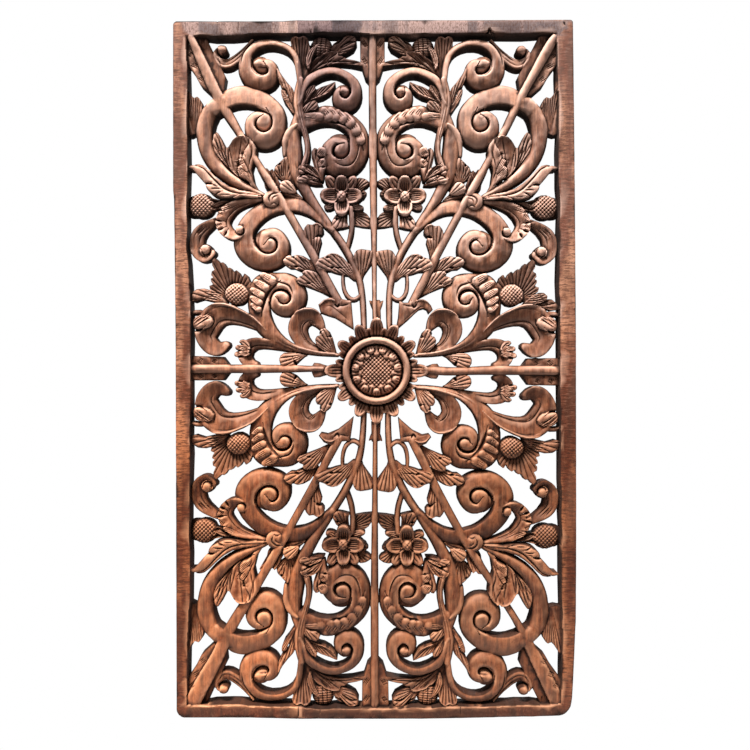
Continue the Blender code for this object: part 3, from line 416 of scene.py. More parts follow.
# Cuts of the gouge and the V tool: the line, the half width and the depth. Each runs out to
# nothing at both ends.
CUTS = {
    "scroll_rings": [
        ([(18, 345), (19.5, 332), (24, 320), (31, 312.5), (40, 310.5), (50, 313), (58, 319)], 1.2, 2.2),
        ([(150, 134), (140, 130.5), (131, 127), (126, 118), (125, 109)], 1.3, 3.5),
        ([(168, 504), (178, 497.5), (187, 488), (193, 477), (195.5, 462)], 1.4, 4)],
    "top_curl_eye": [([(216, 485), (219, 478.5), (225, 477), (230, 481), (231, 489)], 2.2, 8)],
    "curl_eye": [([(196, 213), (196, 206), (201, 202.5), (206, 204.5)], 1.8, 7)],
    "side_eye": [([(250, 186), (247, 179), (250, 173), (257, 172), (260, 177)], 2.0, 8)],
    "knot": [([(141, 265), (150, 264), (156, 258), (154, 250)], 1.3, 3),
        ([(143, 261), (149, 259), (151, 254)], 1.1, 2), ([(143, 247), (149, 250), (153, 246)], 1.0, 2)],
    "curl_leaf_edge": [([(227, 239), (238, 242)], 1.5, 8), ([(228, 223), (239, 225)], 1.6, 9),
        ([(226, 213), (235, 209)], 1.6, 9), ([(221, 208), (226, 200)], 1.5, 8)],
    "long_leaf": [([(190, 264), (205, 266), (217, 270), (227, 276), (236, 285), (245, 295), (254, 305),
        (264, 309)], 1.0, 3), ([(241, 280.5), (247, 282.5), (254, 282)], 1.5, 8),
        ([(229, 273), (237, 274), (243, 273)], 0.9, 3.5),
        ([(229, 269), (234, 267), (238, 264)], 1.3, 6), ([(214, 263), (232, 264)], 0.8, 2.5),
        ([(233, 277), (240, 278)], 0.8, 2)],
    "berry_sheath": [([(206, 262), (225, 258), (247, 270)], 2.2, 6),
        ([(233, 254), (245, 256), (252, 268)], 1.2, 4), ([(222, 253), (238, 244), (247, 250)], 1.3, 4)],
    "heart": [([(186, 352), (184.5, 346), (189, 336)], 1.2, 2.5),
        ([(180, 345), (179.5, 330), (183, 318), (185, 306)], 1.1, 2.6),
        ([(191, 330), (196, 329)], 1.4, 4), ([(196, 320.5), (201, 319.5)], 1.3, 4),
        ([(200, 310), (203, 309)], 1.3, 4), ([(186, 283), (194, 288.5), (201, 292)], 2.0, 8),
        ([(202, 291), (211, 299), (221, 310), (229, 321)], 1.3, 6),
        ([(215, 336), (215, 325), (214, 313), (211, 302)], 1.0, 3),
        ([(229, 352), (226, 336), (222, 320), (214, 304)], 1.0, 3),
        ([(234, 352), (231, 336), (227, 323)], 1.0, 3)],
    "flower_leaf_curl": [([(53, 229), (57, 229)], 1.6, 8)],
    "pad_leaf": [([(78, 203), (83, 203), (88, 200)], 1.7, 8)],
    "mid_leaf": [([(69, 170), (74, 169.5)], 1.5, 8), ([(62, 155), (68, 155)], 1.6, 7),
        ([(48, 154), (60, 154)], 1.2, 3)],
    "shaft_leaf": [([(120, 168), (124, 171)], 1.4, 7), ([(114, 155), (122, 156)], 1.6, 7)],
    "shaft_leaf_low": [([(108, 147), (112, 150)], 1.4, 7), ([(98, 131), (104, 130)], 1.5, 6)],
    "side_leaf": [([(69, 50), (75, 49)], 1.4, 7), ([(84, 57), (90, 53)], 1.6, 7)],
    "low_leaf": [([(122, 4), (126, 13)], 1.8, 8)],
    "big_lobe": [([(262, 61), (268, 57.5), (275, 57), (284, 58)], 1.8, 9),
        ([(270, 80.5), (283, 79)], 1.6, 8), ([(250, 76), (262, 71.5), (274, 62)], 0.9, 2.2),
        ([(255, 79), (267, 73.5), (277, 65)], 0.9, 2.2), ([(261, 80), (271, 75), (278, 69)], 0.8, 1.8),
        ([(247, 80), (246, 70), (252, 62)], 1.0, 2)],
    "small_lobes": [([(203, 36), (211, 37)], 1.3, 6), ([(205, 27), (214, 27)], 1.3, 6),
        ([(203, 18), (212, 17)], 1.4, 7)],
    "bridge": [([(12, 468), (40, 469), (66, 468), (92, 452)], 1.1, 2.6),
        ([(18, 466), (42, 466), (68, 464)], 1.0, 2.0)],
    "bud": [([(22, 498), (32, 499), (46, 489)], 1.5, 6), ([(40, 509), (44, 502), (55, 494)], 1.3, 5)],
    "twin_lobe": [([(70, 325), (76, 323), (82, 326)], 1.6, 7),
        ([(80, 338), (84, 328), (84, 318)], 1.1, 3), ([(70, 309), (76, 308)], 1.5, 6)],
    "tongue": [([(98, 293), (104, 295), (110, 290)], 1.3, 5),
        ([(84, 292), (97, 298), (110, 304)], 1.3, 4)],
    "under_stem": [([(137, 313), (141, 310)], 1.5, 7)],
    "petals": [([(34, 275), (40, 270)], 1.2, 4), ([(57, 275), (52, 270)], 1.2, 4),
        ([(38, 254), (42, 258)], 1.2, 4), ([(56, 254), (52, 258)], 1.2, 4)],
    "arrow": [([(248, 512), (232, 478), (222, 452)], 1.0, 1.5),
        ([(43, 99), (50, 97), (58, 96)], 1.0, 2), ([(57, 101), (60, 95), (65, 100)], 1.6, 4)],
    "hook": [([(42, 72), (52, 81), (60, 88), (66, 93), (73, 96), (80, 93)], 0.9, 1.2)],
}

# Sets of fine level cuts: the middle, their direction in degrees, length, number and pitch.
HATCHES = [
    (255, 501, 82, 14, 3, 2.2), (274, 480, 40, 10, 3, 2.4), (267, 463, 27, 13, 3, 2.6),
    (256, 443, 36, 11, 3, 2.4), (9, 497, 55, 14, 3, 2.2), (9, 471, 57, 14, 3, 2.2),
    (70, 474, -42, 22, 7, 3.2), (76, 329, -48, 8, 4, 2.2), (77, 316, -55, 8, 4, 2.2),
    (96, 308, 30, 20, 3, 2.2), (92, 291, 28, 18, 3, 2.2), (134, 303, 92, 26, 4, 3.2),
    (197, 314, 58, 14, 6, 2.2), (197, 298, 45, 18, 6, 2.2), (193, 326, 62, 10, 3, 2.0),
    (262, 209, -48, 16, 3, 2.4), (222, 246, -22, 16, 5, 2.4), (233, 233, 60, 8, 5, 2.2),
    (233, 217, 60, 6, 4, 2.2), (245, 110, 4, 26, 4, 3.2), (262, 102, -18, 20, 2, 3.0),
    (262, 75, -35, 26, 3, 2.8), (211, 24, -30, 7, 4, 2.0), (209, 33, -25, 7, 3, 2.0),
    (98, 69, 45, 10, 3, 2.2), (247, 10, 28, 8, 3, 2.2), (268, 10, 32, 10, 4, 2.2),
]
HATCH_WIDTH = 0.85
HATCH_DEPTH = 2.1

# Where the quarters are carved differently: the palm near the level line, two leaves in the upper
# right quarter and a broad one in the others, and the head of the diagonal arrow.
LOW_PALMS = {
    "palm_low": ([(226, 100), (240, 112), (250, 117), (258, 117), (263.5, 112), (262.5, 106),
        (256, 102), (240, 98)], (222, 98), 14, 22, 1.5, 5, 0.5),
    "palm_tail": (
        [(240, 97), (255, 103), (264, 107.5), (270, 107), (278, 101), (286, 93), (270, 90), (255, 94)],
        (238, 94), 15, 21, -1, 3, 0.4),
}
BROAD_PALM = {
    "broad_palm": ([(222, 98), (234, 110), (246, 118), (258, 121), (270, 120), (280, 114), (286, 104),
        (276, 100), (262, 104), (240, 99)], (220, 98), 15, 23, 1.5, 4, 0.25),
}
HOOKED_HEAD = ([(38, 68), (41, 106), (52, 106), (60, 110), (70, 112), (80, 108), (88, 98), (85, 93),
    (75, 95), (60, 88), (45, 75)], 22, 0.1)
BROAD_HEAD = ([(38, 60), (40, 104), (55, 107), (70, 109), (80, 105), (88, 98), (85, 85), (75, 81),
    (65, 78), (50, 68)], 22, 0.1)
OWN_HEADS = {"upper_left": BROAD_HEAD, "lower_left": HOOKED_HEAD, "lower_right": HOOKED_HEAD}

# The two rings of leaflets of the medallion: angle in degrees within a quarter, then how far
# out the tip lies and the half width. The outer ring is mirrored into all the quarters.
MEDALLION = (3.0, -2.0)
CORONA = [
    (0, 76, 11), (13, 63, 5.5), (25, 62, 5.5), (37, 70, 9.5), (52, 65, 6.5), (67, 73, 9.5),
    (79, 65, 5.5), (90, 78, 11),
]

# The domed disc and its cross cuts, the pairs of florets on it (how near the middle they reach,
# half width and level), and the ring with the narrow moats beside it.
DISC_RADIUS = 44
DISC_FLOOR = 17
DISC_CUTS = (45, 4.4, 1.7, 4.4)
FLORETS = 11
FLORET_FORMS = ((25, 7.5, 25), (31, 6, 27))
RING_RADIUS = 46.5
RING_HALF_WIDTH = 5.2
RING_DROP = 9
MOAT = 1.5
MOAT_WIDTH = 1.6

# Drift of each quarter from a true mirror image: a named place of the upper right quarter, then
# how far the same place lies outwards and up in the other quarters, in the order of QUARTERS.
DRIFT = {
    "top_volute": ((168, 466), (9, -1), (8, 0), (3, 4)),
    "fan": ((105, 500), (8, 1), (5, 6), (8, 6)),
    "top_curl": ((223, 487), (10, 2), (8, 0), (4, 2)),
    "corner": ((280, 505), (6, 1), (2, 4), (1, 3)),
    "hook_volute": ((40, 425), (6, 0), (3, 5), (5, 6)),
    "corner_volute": ((164, 380), (8, -1), (9, 6), (4, 6)),
    "bead_volute": ((46, 338), (6, 0), (4, 3), (5, 3)),
    "side_stem": ((252, 355), (8, 0), (7, 0), (2, 2)),
    "heart": ((196, 340), (8, 1), (5, -2), (-1, 6)),
    "flower": ((46, 264), (4, 0), (1, 3), (3, 4)),
    "knot": ((152, 253), (5, 5), (-2, 5), (0, 10)),
    "side_berry": ((258, 248), (5, 2), (0, -2), (1, 7)),
    "comma_volute": ((157, 193), (4, 3), (5, 4), (1, 6)),
    "side_curl": ((253, 177), (3, 4), (2, 0), (2, 10)),
    "low_berry": ((209, 113), (2, 1), (-2, -1), (1, 5)),
    "low_volute": ((139, 108), (1, 0), (-2, 2), (-3, 5)),
    "mid_leaf": ((50, 160), (0, 1), (2, 3), (2, 5)),
    "inner_leaf": ((105, 65), (-3, 2), (-3, 4), (-1, 6)),
    "stem_foot": ((23, 66), (-8, 0), (-8, 4), (-3, 4)),
    "big_leaf": ((250, 45), (-2, 4), (-2, -1), (2, 8)),
    "small_leaf": ((195, 25), (-4, 1), (-4, 1), (0, 6)),
}
DRIFT_REACH = 45.0

# The depth and the size of the tool marks on the carving.
TOOL_MARKS = 0.28
TOOL_MARK_BLUR = 3.2

# How far off the border's front is seen from, and how gently the setting back varies.
# Nothing is set back further than from a level of LOWEST_LEVEL.
SIGHT = 1140.0
SET_BACK_BLUR = 5.0
LOWEST_LEVEL = 12.0

# What counts as a hollow, a crease or a ridge: how wide the wood round it is looked at, and how
# far below or above that it lies for the full effect.
LEAST_SHARE = 0.05
HOLLOW_BLUR = 5.0
HOLLOW_DEPTH = 6.0
CREASE_BLUR = 1.8
CREASE_DEPTH = 1.5
RIDGE_HEIGHT = 0.7
STAIN_AND_PAINTED_LIGHT_BLUR = 1.0
SHARP_ANGLE = math.radians(52)

# The border's outer edges and the arrises of its opening, each as places along it and how far
# out it lies there. The board leans a little, and its lower corners are worn round.
LEFT_EDGE = ([-532, -489, 60, 258, 275, 532], [-302, -302, -303.6, -305.9, -307.5, -307.8])
RIGHT_EDGE = ([-532, -500, -450, -380, -240, 60, 280, 460, 532],
    [297, 301.5, 304, 307, 308.3, 307.1, 305.4, 303.6, 302.6])
TOP_EDGE = ([-308, -140, -120, 150, 308], [531, 531, 532.4, 532.8, 533.5])
BOTTOM_EDGE = ([-308, -190, -115, 70, 160, 240, 308], [-531, -531, -532.8, -532.8, -531, -529.5, -527])
LEFT_ARRIS = ([-512, -413, -352, -146, -31, 83, 164, 182, 350, 464, 512],
    [-286, -285, -281.5, -281.5, -281, -280, -284, -286, -285, -286, -288])
RIGHT_ARRIS = ([-512, -450, -352, -226, -146, 0, 150, 300, 400, 464, 512],
    [284, 286, 285.5, 284.5, 283.5, 282.5, 281.5, 281, 280.5, 279, 277.5])
TOP_ARRIS = ([-287, -220, -190, -35, 0, 65, 100, 200, 280],
    [509, 509.5, 512.5, 513, 511, 511, 512, 512.3, 512.5])
BOTTOM_ARRIS = ([-285, -219, -180, -110, -104, 25, 105, 203, 280],
    [-512.5, -511, -512.5, -514, -516, -516, -514, -512.5, -510.5])
BORDER_CORNERS = {"top_left": 7, "top_right": 4, "bottom_left": 13, "bottom_right": 17}
BORDER_CUTS = [
    ([(-112, -513), (-113.5, -520), (-112, -529)], 2.6, -0.9),
    ([(-117, -534), (-116, -525), (-116.5, -514)], 0.9, 2.5),
    ([(-83, -516), (-83, -524)], 0.7, 1.5),
    ([(131, -515), (131, -528)], 0.7, 1.2),
    ([(172, 511), (175.5, 519), (178, 512)], 1.2, 6),
    ([(168, 512), (176, 514.5), (184, 512)], 1.6, 5),
    ([(-97, 511), (-97, 517)], 0.9, 3),
    ([(288, 531), (291, 524)], 1.2, 2),
    ([(-240, 533), (-240, 528)], 0.9, 1.5),
    ([(-208, 531), (-208, 516)], 0.6, 1.2),
]

# How ragged the arrises are: the length and the size of their waves.
HAND_CUT = (25, 0.2)
LOW_CUT = (12, 0.35)

# How gently and how far the border's edges roll over, and the worn bevel along the lower arris:
# how wide and how deep it is and how far to either side it goes.
BORDER_ROLL = (1.1, 0.8)
ARRIS_REACH = 2.8
ARRIS_DROP = 1.3
ARRIS_END = 280.0

# The size and length of the border's shallow waves. Then worn patches and the filler of a joint:
# the middle, the radii and how pale, or below 0 how dark. They lie a little deeper.
BORDER_WAVES = 0.16
WAVE_BLUR = 4
WORN_DEPTH = 0.35
WORN = [
    (-225, -527, 14, 8, 0.45), (-190, -531, 12, 5, 0.45), (-114, -518, 3.5, 8, 1.6),
    (-113, -527, 3, 6, 1.4), (-296, 355, 14, 48, -0.55), (-294, 60, 10, 60, -0.3),
    (-290, -170, 12, 30, -0.5), (-298, -230, 8, 12, -0.4), (-296, -420, 14, 110, -0.6),
    (-235, 524, 8, 12, -0.4), (290, 350, 9, 26, -0.35), (294, 130, 12, 45, -0.45),
    (288, -90, 8, 60, -0.3), (299, -200, 7, 60, 0.15), (-130, 522, 26, 12, 0.25),
    (60, 522, 60, 12, 0.1), (205, 524, 34, 12, -0.4), (-180, 524, 26, 12, -0.4),
    (-120, -525, 300, 7, -0.5), (120, -524, 200, 8, -0.3),
]

# The glue line of the boards, in metres, and where the darker board to its right fades out.
JOINT = (-0.118, -0.117)
JOINT_FADE = (-0.035, 0.0)

# Colours of the old wood, as linear light.
PALE_PINK = (0.86, 0.60, 0.46)
PALE_BROWN = (0.56, 0.27, 0.145)
MID_BROWN = (0.30, 0.105, 0.044)
RED_BROWN = (0.17, 0.05, 0.021)
GREY_BROWN = (0.25, 0.165, 0.135)
RAIL_PINK = (0.44, 0.315, 0.28)
RAIL_GREY = (0.13, 0.112, 0.12)
LOWER_TINT = (0.79, 0.54, 0.375)
UPPER_TINT = (1.24, 1.19, 1.26)
RIGHT_TINT = (0.74, 0.74, 0.76)
LEFT_TINT = (1.12, 1.08, 1.04)
BOARD_TINT = (0.50, 0.47, 0.53)
DARK_BROWN = (0.075, 0.028, 0.013)
NEAR_BLACK = (0.012, 0.006, 0.004)
GRAIN_DEPTH = 0.0006

# Where the carving lies deep, and where the panel's outer sides and ends begin, in metres.
DEEP_DOWN = (-0.021, -0.006)
OUTER_SIDES = (0.300, 0.302)
OUTER_ENDS = (0.525, 0.527)

# Noises of the wood: cycles per metre along x, y and z, detail, roughness and lean in degrees.
NOISES = {
    "patches": ((14, 14, 9), 3),
    "clouds": ((45, 45, 30), 4, 0.6),
    "rings": ((120, 50, 7), 3, 0.6),
    "streaks": ((210, 60, 22), 4, 0.7, 4),
    "specks": ((420, 420, 300), 2),
    "bars": ((26, 1, 1), 2),
    "thin_bars": ((75, 1, 3), 2),
    "bands": ((34, 20, 8), 4, 0.55, 9),
    "rail_stipple": ((480, 200, 170), 3, 0.75),
    "stile_stipple": ((80, 80, 460), 3, 0.7),
    "saw_marks": ((60, 60, 420), 2),
}

# Tones laid over the wood in turn: what steers each, where it starts and where it is full, its
# least and greatest share, and the colour.
CARVING_TONES = [
    ("patches", 0.35, 0.65, 0, 1, RED_BROWN), ("clouds", 0.5, 0.72, 0, 0.8, PALE_BROWN),
    ("rings", 0.52, 0.6, 0, 0.6, PALE_BROWN), ("rings", 0.47, 0.39, 0, 0.8, DARK_BROWN),
    ("streaks", 0.52, 0.6, 0, 0.5, PALE_BROWN), ("streaks", 0.46, 0.38, 0, 0.6, DARK_BROWN),
    ("clouds", 0.5, 0.36, 0, 0.6, DARK_BROWN), ("specks", 0.5, 0.7, 0, 0.4, DARK_BROWN),
]
HIGH_RAIL_TONES = [("bars", 0.45, 0.5, 0, 1, RAIL_PINK), ("thin_bars", 0.42, 0.38, 0, 0.7, RAIL_GREY)]
LOW_RAIL_TONES = [
    ("bars", 0.48, 0.62, 0.1, 0.8, RED_BROWN), ("thin_bars", 0.48, 0.38, 0, 0.7, NEAR_BLACK),
]
STILE_TONES = [
    ("bands", 0.48, 0.64, 0, 1, PALE_BROWN), ("bands", 0.44, 0.36, 0, 0.7, DARK_BROWN),
    ("clouds", 0.5, 0.35, 0, 0.8, RED_BROWN),
]
# The first row greys the upper half. The other two are painted light and shade: faces turned up are
# painted paler, a painted highlight from the light above, and faces turned down are painted dark brown
# as painted shade.
GREY_TOP_AND_PAINTED_FACE_SHADING = [
    ("z", -0.1, 0.5, 0, 0.22, GREY_BROWN), ("upward", 0.05, 0.6, 0, 0.4, PALE_BROWN),
    ("upward", -0.05, -0.5, 0, 0.85, DARK_BROWN),
]
# Stains and painted light: where above 0, a stain together with painted shade on pieces that lie in
# shade; where below 0, the border's worn patches and a painted highlight on some pieces.
STAIN_AND_PAINTED_LIGHT_TONES = [("stain_and_painted_light", 0, 1, 0, 0.9, DARK_BROWN), ("stain_and_painted_light", 0, -1, 0, 1, PALE_PINK)]

# The light: its share from all around, then the suns: direction, strength, softness in
# degrees and colour.
AMBIENT = 0.25
WARM_WHITE = (1, 0.97, 0.95, 1)
WHITE = (1, 1, 1, 1)
SUNS = {
    "key": ((-0.25, -0.42, 1.0), 7.0, 16, (1, 0.96, 0.92)),
    "back": ((0.3, 0.8, 0.55), 0.9, 30, (1, 1, 1)),
}

FLOOR_MIDDLE = (0, -0.1, -0.75)
FLOOR_SIZE = (1.8, 0.8, 1)
FLOOR_COLOUR = (0.92, 0.92, 0.92, 1)

# The camera: how far off the wall it stands, how wide a strip it sees at the front of the
# panel, and the point it looks at.
SENSOR_WIDTH = 36.0
VIEW_DISTANCE = 1170.0
VIEW_WIDTH = 1143.75
VIEW_MIDDLE = (0.61, -8.54)

# The shafts of the arrows on the middle lines: (x, y, half width) from the border inwards, on the
# whole panel, with one level at the border and one at the medallion.
SHAFT_LEVELS = (27, 24)
SHAFT_DROP = 6
SHAFTS = {
    "upper": [(-3, 518, 6), (-3, 400, 6), (-1.5, 250, 5.5), (-0.5, 150, 4), (0, 80, 3.6)],
    "lower": [(0.5, -520, 6), (0, -350, 6), (0.5, -200, 4.5), (1, -84, 3.6)],
    "left": [(-288, 1, 6.5), (-150, 1, 6.2), (-80, 1, 4)],
    "right": [(286, -2, 6.8), (170, -1.5, 7), (140, -2.5, 6.2), (110, -2.8, 6.6), (92, -1.5, 6.5),
        (80, -1, 5)],
}


class Relief:
    """A height map on a square grid. inside is the distance to the wood's outline, positive in the wood;
    height is the wood's surface, known a little past the outline too; the last field is how dark each
    piece is, partly a stain and partly painted shade, and below 0 partly a painted highlight."""

    def __init__(self, left, bottom, right, top):
        left, bottom = math.floor(left / STEP) * STEP, math.floor(bottom / STEP) * STEP
        self.x = np.arange(left, right + STEP, STEP)
        self.y = np.arange(bottom, top + STEP, STEP)
        shape = (len(self.y), len(self.x))
        self.inside = np.full(shape, -9.0)
        self.height = np.zeros(shape)
        self.stain_and_painted_light = np.zeros(shape)

    @classmethod
    def around(cls, points, reach):
        """An empty map that holds the points with a margin."""
        low = np.min(points, axis=0)[:2] - reach
        high = np.max(points, axis=0)[:2] + reach
        return cls(low[0], low[1], high[0], high[1])

    def overlap(self, other):
        """The slices of this map and of the other that cover the same ground."""
        mine, theirs = [], []
        for own, far in ((self.y, other.y), (self.x, other.x)):
            shift = int(round((far[0] - own[0]) / STEP))
            start = max(0, shift)
            stop = max(start, min(len(own), shift + len(far)))
            mine.append(slice(start, stop))
            theirs.append(slice(start - shift, stop - shift))
        return tuple(mine), tuple(theirs)

    def add(self, other):
        """Join another map on: where both have wood the higher one shows."""
        here, there = self.overlap(other)
        inside, height = self.inside[here], self.height[here]
        new_inside, new_height = other.inside[there], other.height[there]
        wood, known = new_inside > 0, inside > 0
        shows = (wood & ~known) | (wood & known & (new_height > height))
        shows |= ~wood & ~known & (new_inside > inside)
        height[shows] = new_height[shows]
        self.stain_and_painted_light[here][shows] = other.stain_and_painted_light[there][shows]
        np.maximum(inside, new_inside, out=inside)

    def mirrored(self, side, end):
        """The same map in another quarter."""
        copy = Relief(0, 0, 0, 0)
        copy.x = self.x if side == 1 else -self.x[::-1]
        copy.y = self.y if end == 1 else -self.y[::-1]
        for field in ("inside", "height", "stain_and_painted_light"):
            setattr(copy, field, getattr(self, field)[::end, ::side])
        return copy


def drift(points, quarter):
    """Move points of the upper right quarter by the drift of the named quarter."""
    moved = np.array(points, float)
    if quarter == "upper_right":
        return moved
    total = np.full(len(moved), 1e-6)
    shift = np.zeros((len(moved), 2))
    column = list(QUARTERS).index(quarter) - 1
    for place, *offsets in DRIFT.values():
        distance = np.hypot(moved[:, 0] - place[0], moved[:, 1] - place[1])
        weight = np.exp(-0.5 * (distance / DRIFT_REACH) ** 2)
        total += weight
        shift += weight[:, None] * np.array(offsets[column], float)
    moved[:, :2] += shift / total[:, None]
    return moved


def smooth_line(points, spacing=1.3):
    """A natural cubic spline through the points, sampled at even steps of its length."""
    knots = np.asarray(points, float)
    if len(knots) == 2:
        knots = np.array([knots[0], (knots[0] + knots[1]) / 2, knots[1]])
    chords = np.hypot(np.diff(knots[:, 0]), np.diff(knots[:, 1]))
    where = np.concatenate([[0.0], np.cumsum(np.sqrt(chords))])
    gap = np.diff(where)
    size = len(knots)
    matrix = np.eye(size)
    right = np.zeros_like(knots)
    for i in range(1, size - 1):
        matrix[i, i - 1:i + 2] = gap[i - 1], 2 * (gap[i - 1] + gap[i]), gap[i]
        right[i] = 6 * ((knots[i + 1] - knots[i]) / gap[i] - (knots[i] - knots[i - 1]) / gap[i - 1])
    bend = np.linalg.solve(matrix, right)

    def at(values):
        i = np.clip(np.searchsorted(where, values) - 1, 0, size - 2)
        a = ((where[i + 1] - values) / gap[i])[:, None]
        b = 1 - a
        cubic = ((a ** 3 - a) * bend[i] + (b ** 3 - b) * bend[i + 1]) * gap[i][:, None] ** 2 / 6
        return a * knots[i] + b * knots[i + 1] + cubic

    fine = np.linspace(0, where[-1], 400)
    line = at(fine)
    length = np.concatenate([[0.0], np.cumsum(np.hypot(np.diff(line[:, 0]), np.diff(line[:, 1])))])
    count = max(4, int(length[-1] / spacing))
    return at(np.interp(np.linspace(0, length[-1], count), length, fine))


def along_line(relief, line):
    """For each cell near a line of (x, y, half width): how far along the line it is (0 to 1),
    how far across (-1 right edge, 1 left edge), how far from it as a share of the half width,
    and that half width."""
    x, y, half = line.T
    half = np.maximum(half, 0.3)
    reach = half + MARGIN
    shape = relief.inside.shape
    best = np.full(shape, 1e9)
    nearest = np.zeros(shape, int)
    for k in range(len(line)):
        columns = slice(*np.searchsorted(relief.x, (x[k] - reach[k], x[k] + reach[k])))
        rows = slice(*np.searchsorted(relief.y, (y[k] - reach[k], y[k] + reach[k])))
        ratio = np.hypot(relief.x[columns][None, :] - x[k], relief.y[rows][:, None] - y[k]) / half[k]
        closer = ratio < best[rows, columns]
        best[rows, columns][closer] = ratio[closer]
        nearest[rows, columns][closer] = k
    run = np.gradient(line[:, :2], axis=0)
    stretch = np.maximum(np.hypot(run[:, 0], run[:, 1]), 1e-6)
    run /= stretch[:, None]
    arc = np.concatenate([[0.0], np.cumsum(np.hypot(np.diff(x), np.diff(y)))])
    widening = np.gradient(half) / stretch
    dx = relief.x[None, :] - x[nearest]
    dy = relief.y[:, None] - y[nearest]
    forward = dx * run[nearest, 0] + dy * run[nearest, 1]
    sideways = dy * run[nearest, 0] - dx * run[nearest, 1]
    width = np.maximum(half[nearest] + widening[nearest] * forward, 0.6 * half[nearest])
    across = sideways / width
    along = np.clip(arc[nearest] + forward, 0, arc[-1]) / arc[-1]
    return along, across, np.minimum(best, 9.0), half[nearest]


def crowned(across, drop, power=2.0):
    """How far a rounded section falls below its top."""
    return drop * (1 - np.sqrt(np.clip(1 - np.abs(across) ** power, 0, 1)))


def v_cut(distance, width, depth):
    """A V-tool cut: how deep it is at a distance from its middle."""
    return depth * np.exp(-(distance / width) ** 2)


def rolled_edge(inside, reach, fall):
    """How far a surface rolls over near its outline."""
    return fall * np.exp(-np.maximum(inside, 0) / reach)


def stem(name, line, start, end, drop, kind, stain_and_painted_light):
    """A stem or scroll along a line of (x, y, half width), with one of the kinds of section."""
    made = Relief.around(line, line[:, 2].max() + MARGIN)
    along, across, ratio, width = along_line(made, line)
    made.inside = (1 - ratio) * width
    made.height = start + (end - start) * along
    if abs(kind) == 2:
        away = (1 - np.sign(kind * across) * np.minimum(ratio, 1)) / 2
        length = np.hypot(*np.diff(line[:, :2], axis=0).T).sum()
        to_an_end = np.minimum((1 - along) * length / line[-1, 2], along * length / line[0, 2])
        even = np.clip(EYE_REACH - to_an_end, 0, 1)
        made.height -= (1 - even) * crowned(away, drop) + even * crowned(ratio, EYE_FALL * drop)
        made.height -= rolled_edge(made.inside, *SCROLL_ROLL)
    elif abs(kind) == 1:
        away = np.clip((1 - kind * across) / 2, 0, 1)
        made.height -= LIP_FALL * away ** LIP_POWER * np.minimum(1, width / LIP_FULL_WIDTH)
        made.height -= rolled_edge(made.inside, np.where(away < 0.5, *LIP_ROLLS), drop)
    else:
        made.height -= crowned(ratio, drop)
    for place, first, last, half_width, depth in STEM_GROOVES.get(name, ()):
        fade = np.clip(GROOVE_FADE * (along - first), 0, 1) * np.clip(GROOVE_FADE * (last - along), 0, 1)
        made.height -= v_cut((across - place) * width, half_width, depth) * fade
    made.stain_and_painted_light[:] = stain_and_painted_light
    return made


def leaf_line(base, middle, tip, half_width, blunt):
    """The midrib of a leaf, an arc through three points, with the half width along it."""
    base, middle, tip = (np.array(point, float) for point in (base, middle, tip))
    handle = 2 * middle - (base + tip) / 2
    count = max(12, int(np.hypot(*(tip - base)) / 1.3))
    along = np.linspace(0, 1, count)
    step = along[:, None]
    rib = (1 - step) ** 2 * base + 2 * step * (1 - step) * handle + step ** 2 * tip
    rise = 0.3 + 0.7 * np.sin(np.pi / 2 * np.clip(along / 0.6, 0, 1))
    power = 2.0 + 3.0 * blunt
    fall = np.clip(1 - np.clip(along, 0, 0.995) ** power, 0, 1) ** (1.0 - 0.45 * blunt)
    return np.column_stack([rib, np.maximum(half_width * rise * fall, 0.4)])


def leaf(line, start, end, crown, veins, stain_and_painted_light):
    """A leaf along its midrib, a line of (x, y, half width), with veins side by side."""
    made = Relief.around(line, line[:, 2].max() + MARGIN)
    along, across, ratio, width = along_line(made, line)
    made.inside = (1 - ratio) * width
    made.height = start + (end - start) * along ** LEAF_POWER
    if crown > 0:
        made.height -= crowned(ratio, crown)
    else:
        cupped = (1 - np.minimum(across ** 2, 1)) * np.sin(np.pi * np.clip(along, 0.05, 0.92))
        made.height += crown * cupped - rolled_edge(made.inside, *LEAF_ROLL)
    fade = np.clip(6 * along, 0, 1) * np.clip(5 * (0.97 - along), 0, 1)
    for k in range(veins):
        place = VEIN_SPREAD * ((2 * k + 1) / veins - 1)
        made.height -= v_cut((across - place) * width, VEIN_WIDTH, VEIN_DEPTH) * fade
    made.stain_and_painted_light[:] = stain_and_painted_light
    return made


def outline_field(made, points):
    """How far inside an outline each cell of a map lies."""
    x, y = made.x[None, :], made.y[:, None]
    distance = np.full(made.inside.shape, 99.0)
    within = np.zeros(made.inside.shape, bool)
    for (ax, ay), (bx, by) in zip(points, np.roll(points, -1, axis=0)):
        ex, ey = bx - ax, by - ay
        part = np.clip(((x - ax) * ex + (y - ay) * ey) / (ex * ex + ey * ey), 0, 1)
        distance = np.minimum(distance, np.hypot(x - ax - part * ex, y - ay - part * ey))
        if ay != by:
            within ^= ((ay > y) != (by > y)) & (x < ax + (y - ay) * ex / ey)
    return np.where(within, distance, -distance)


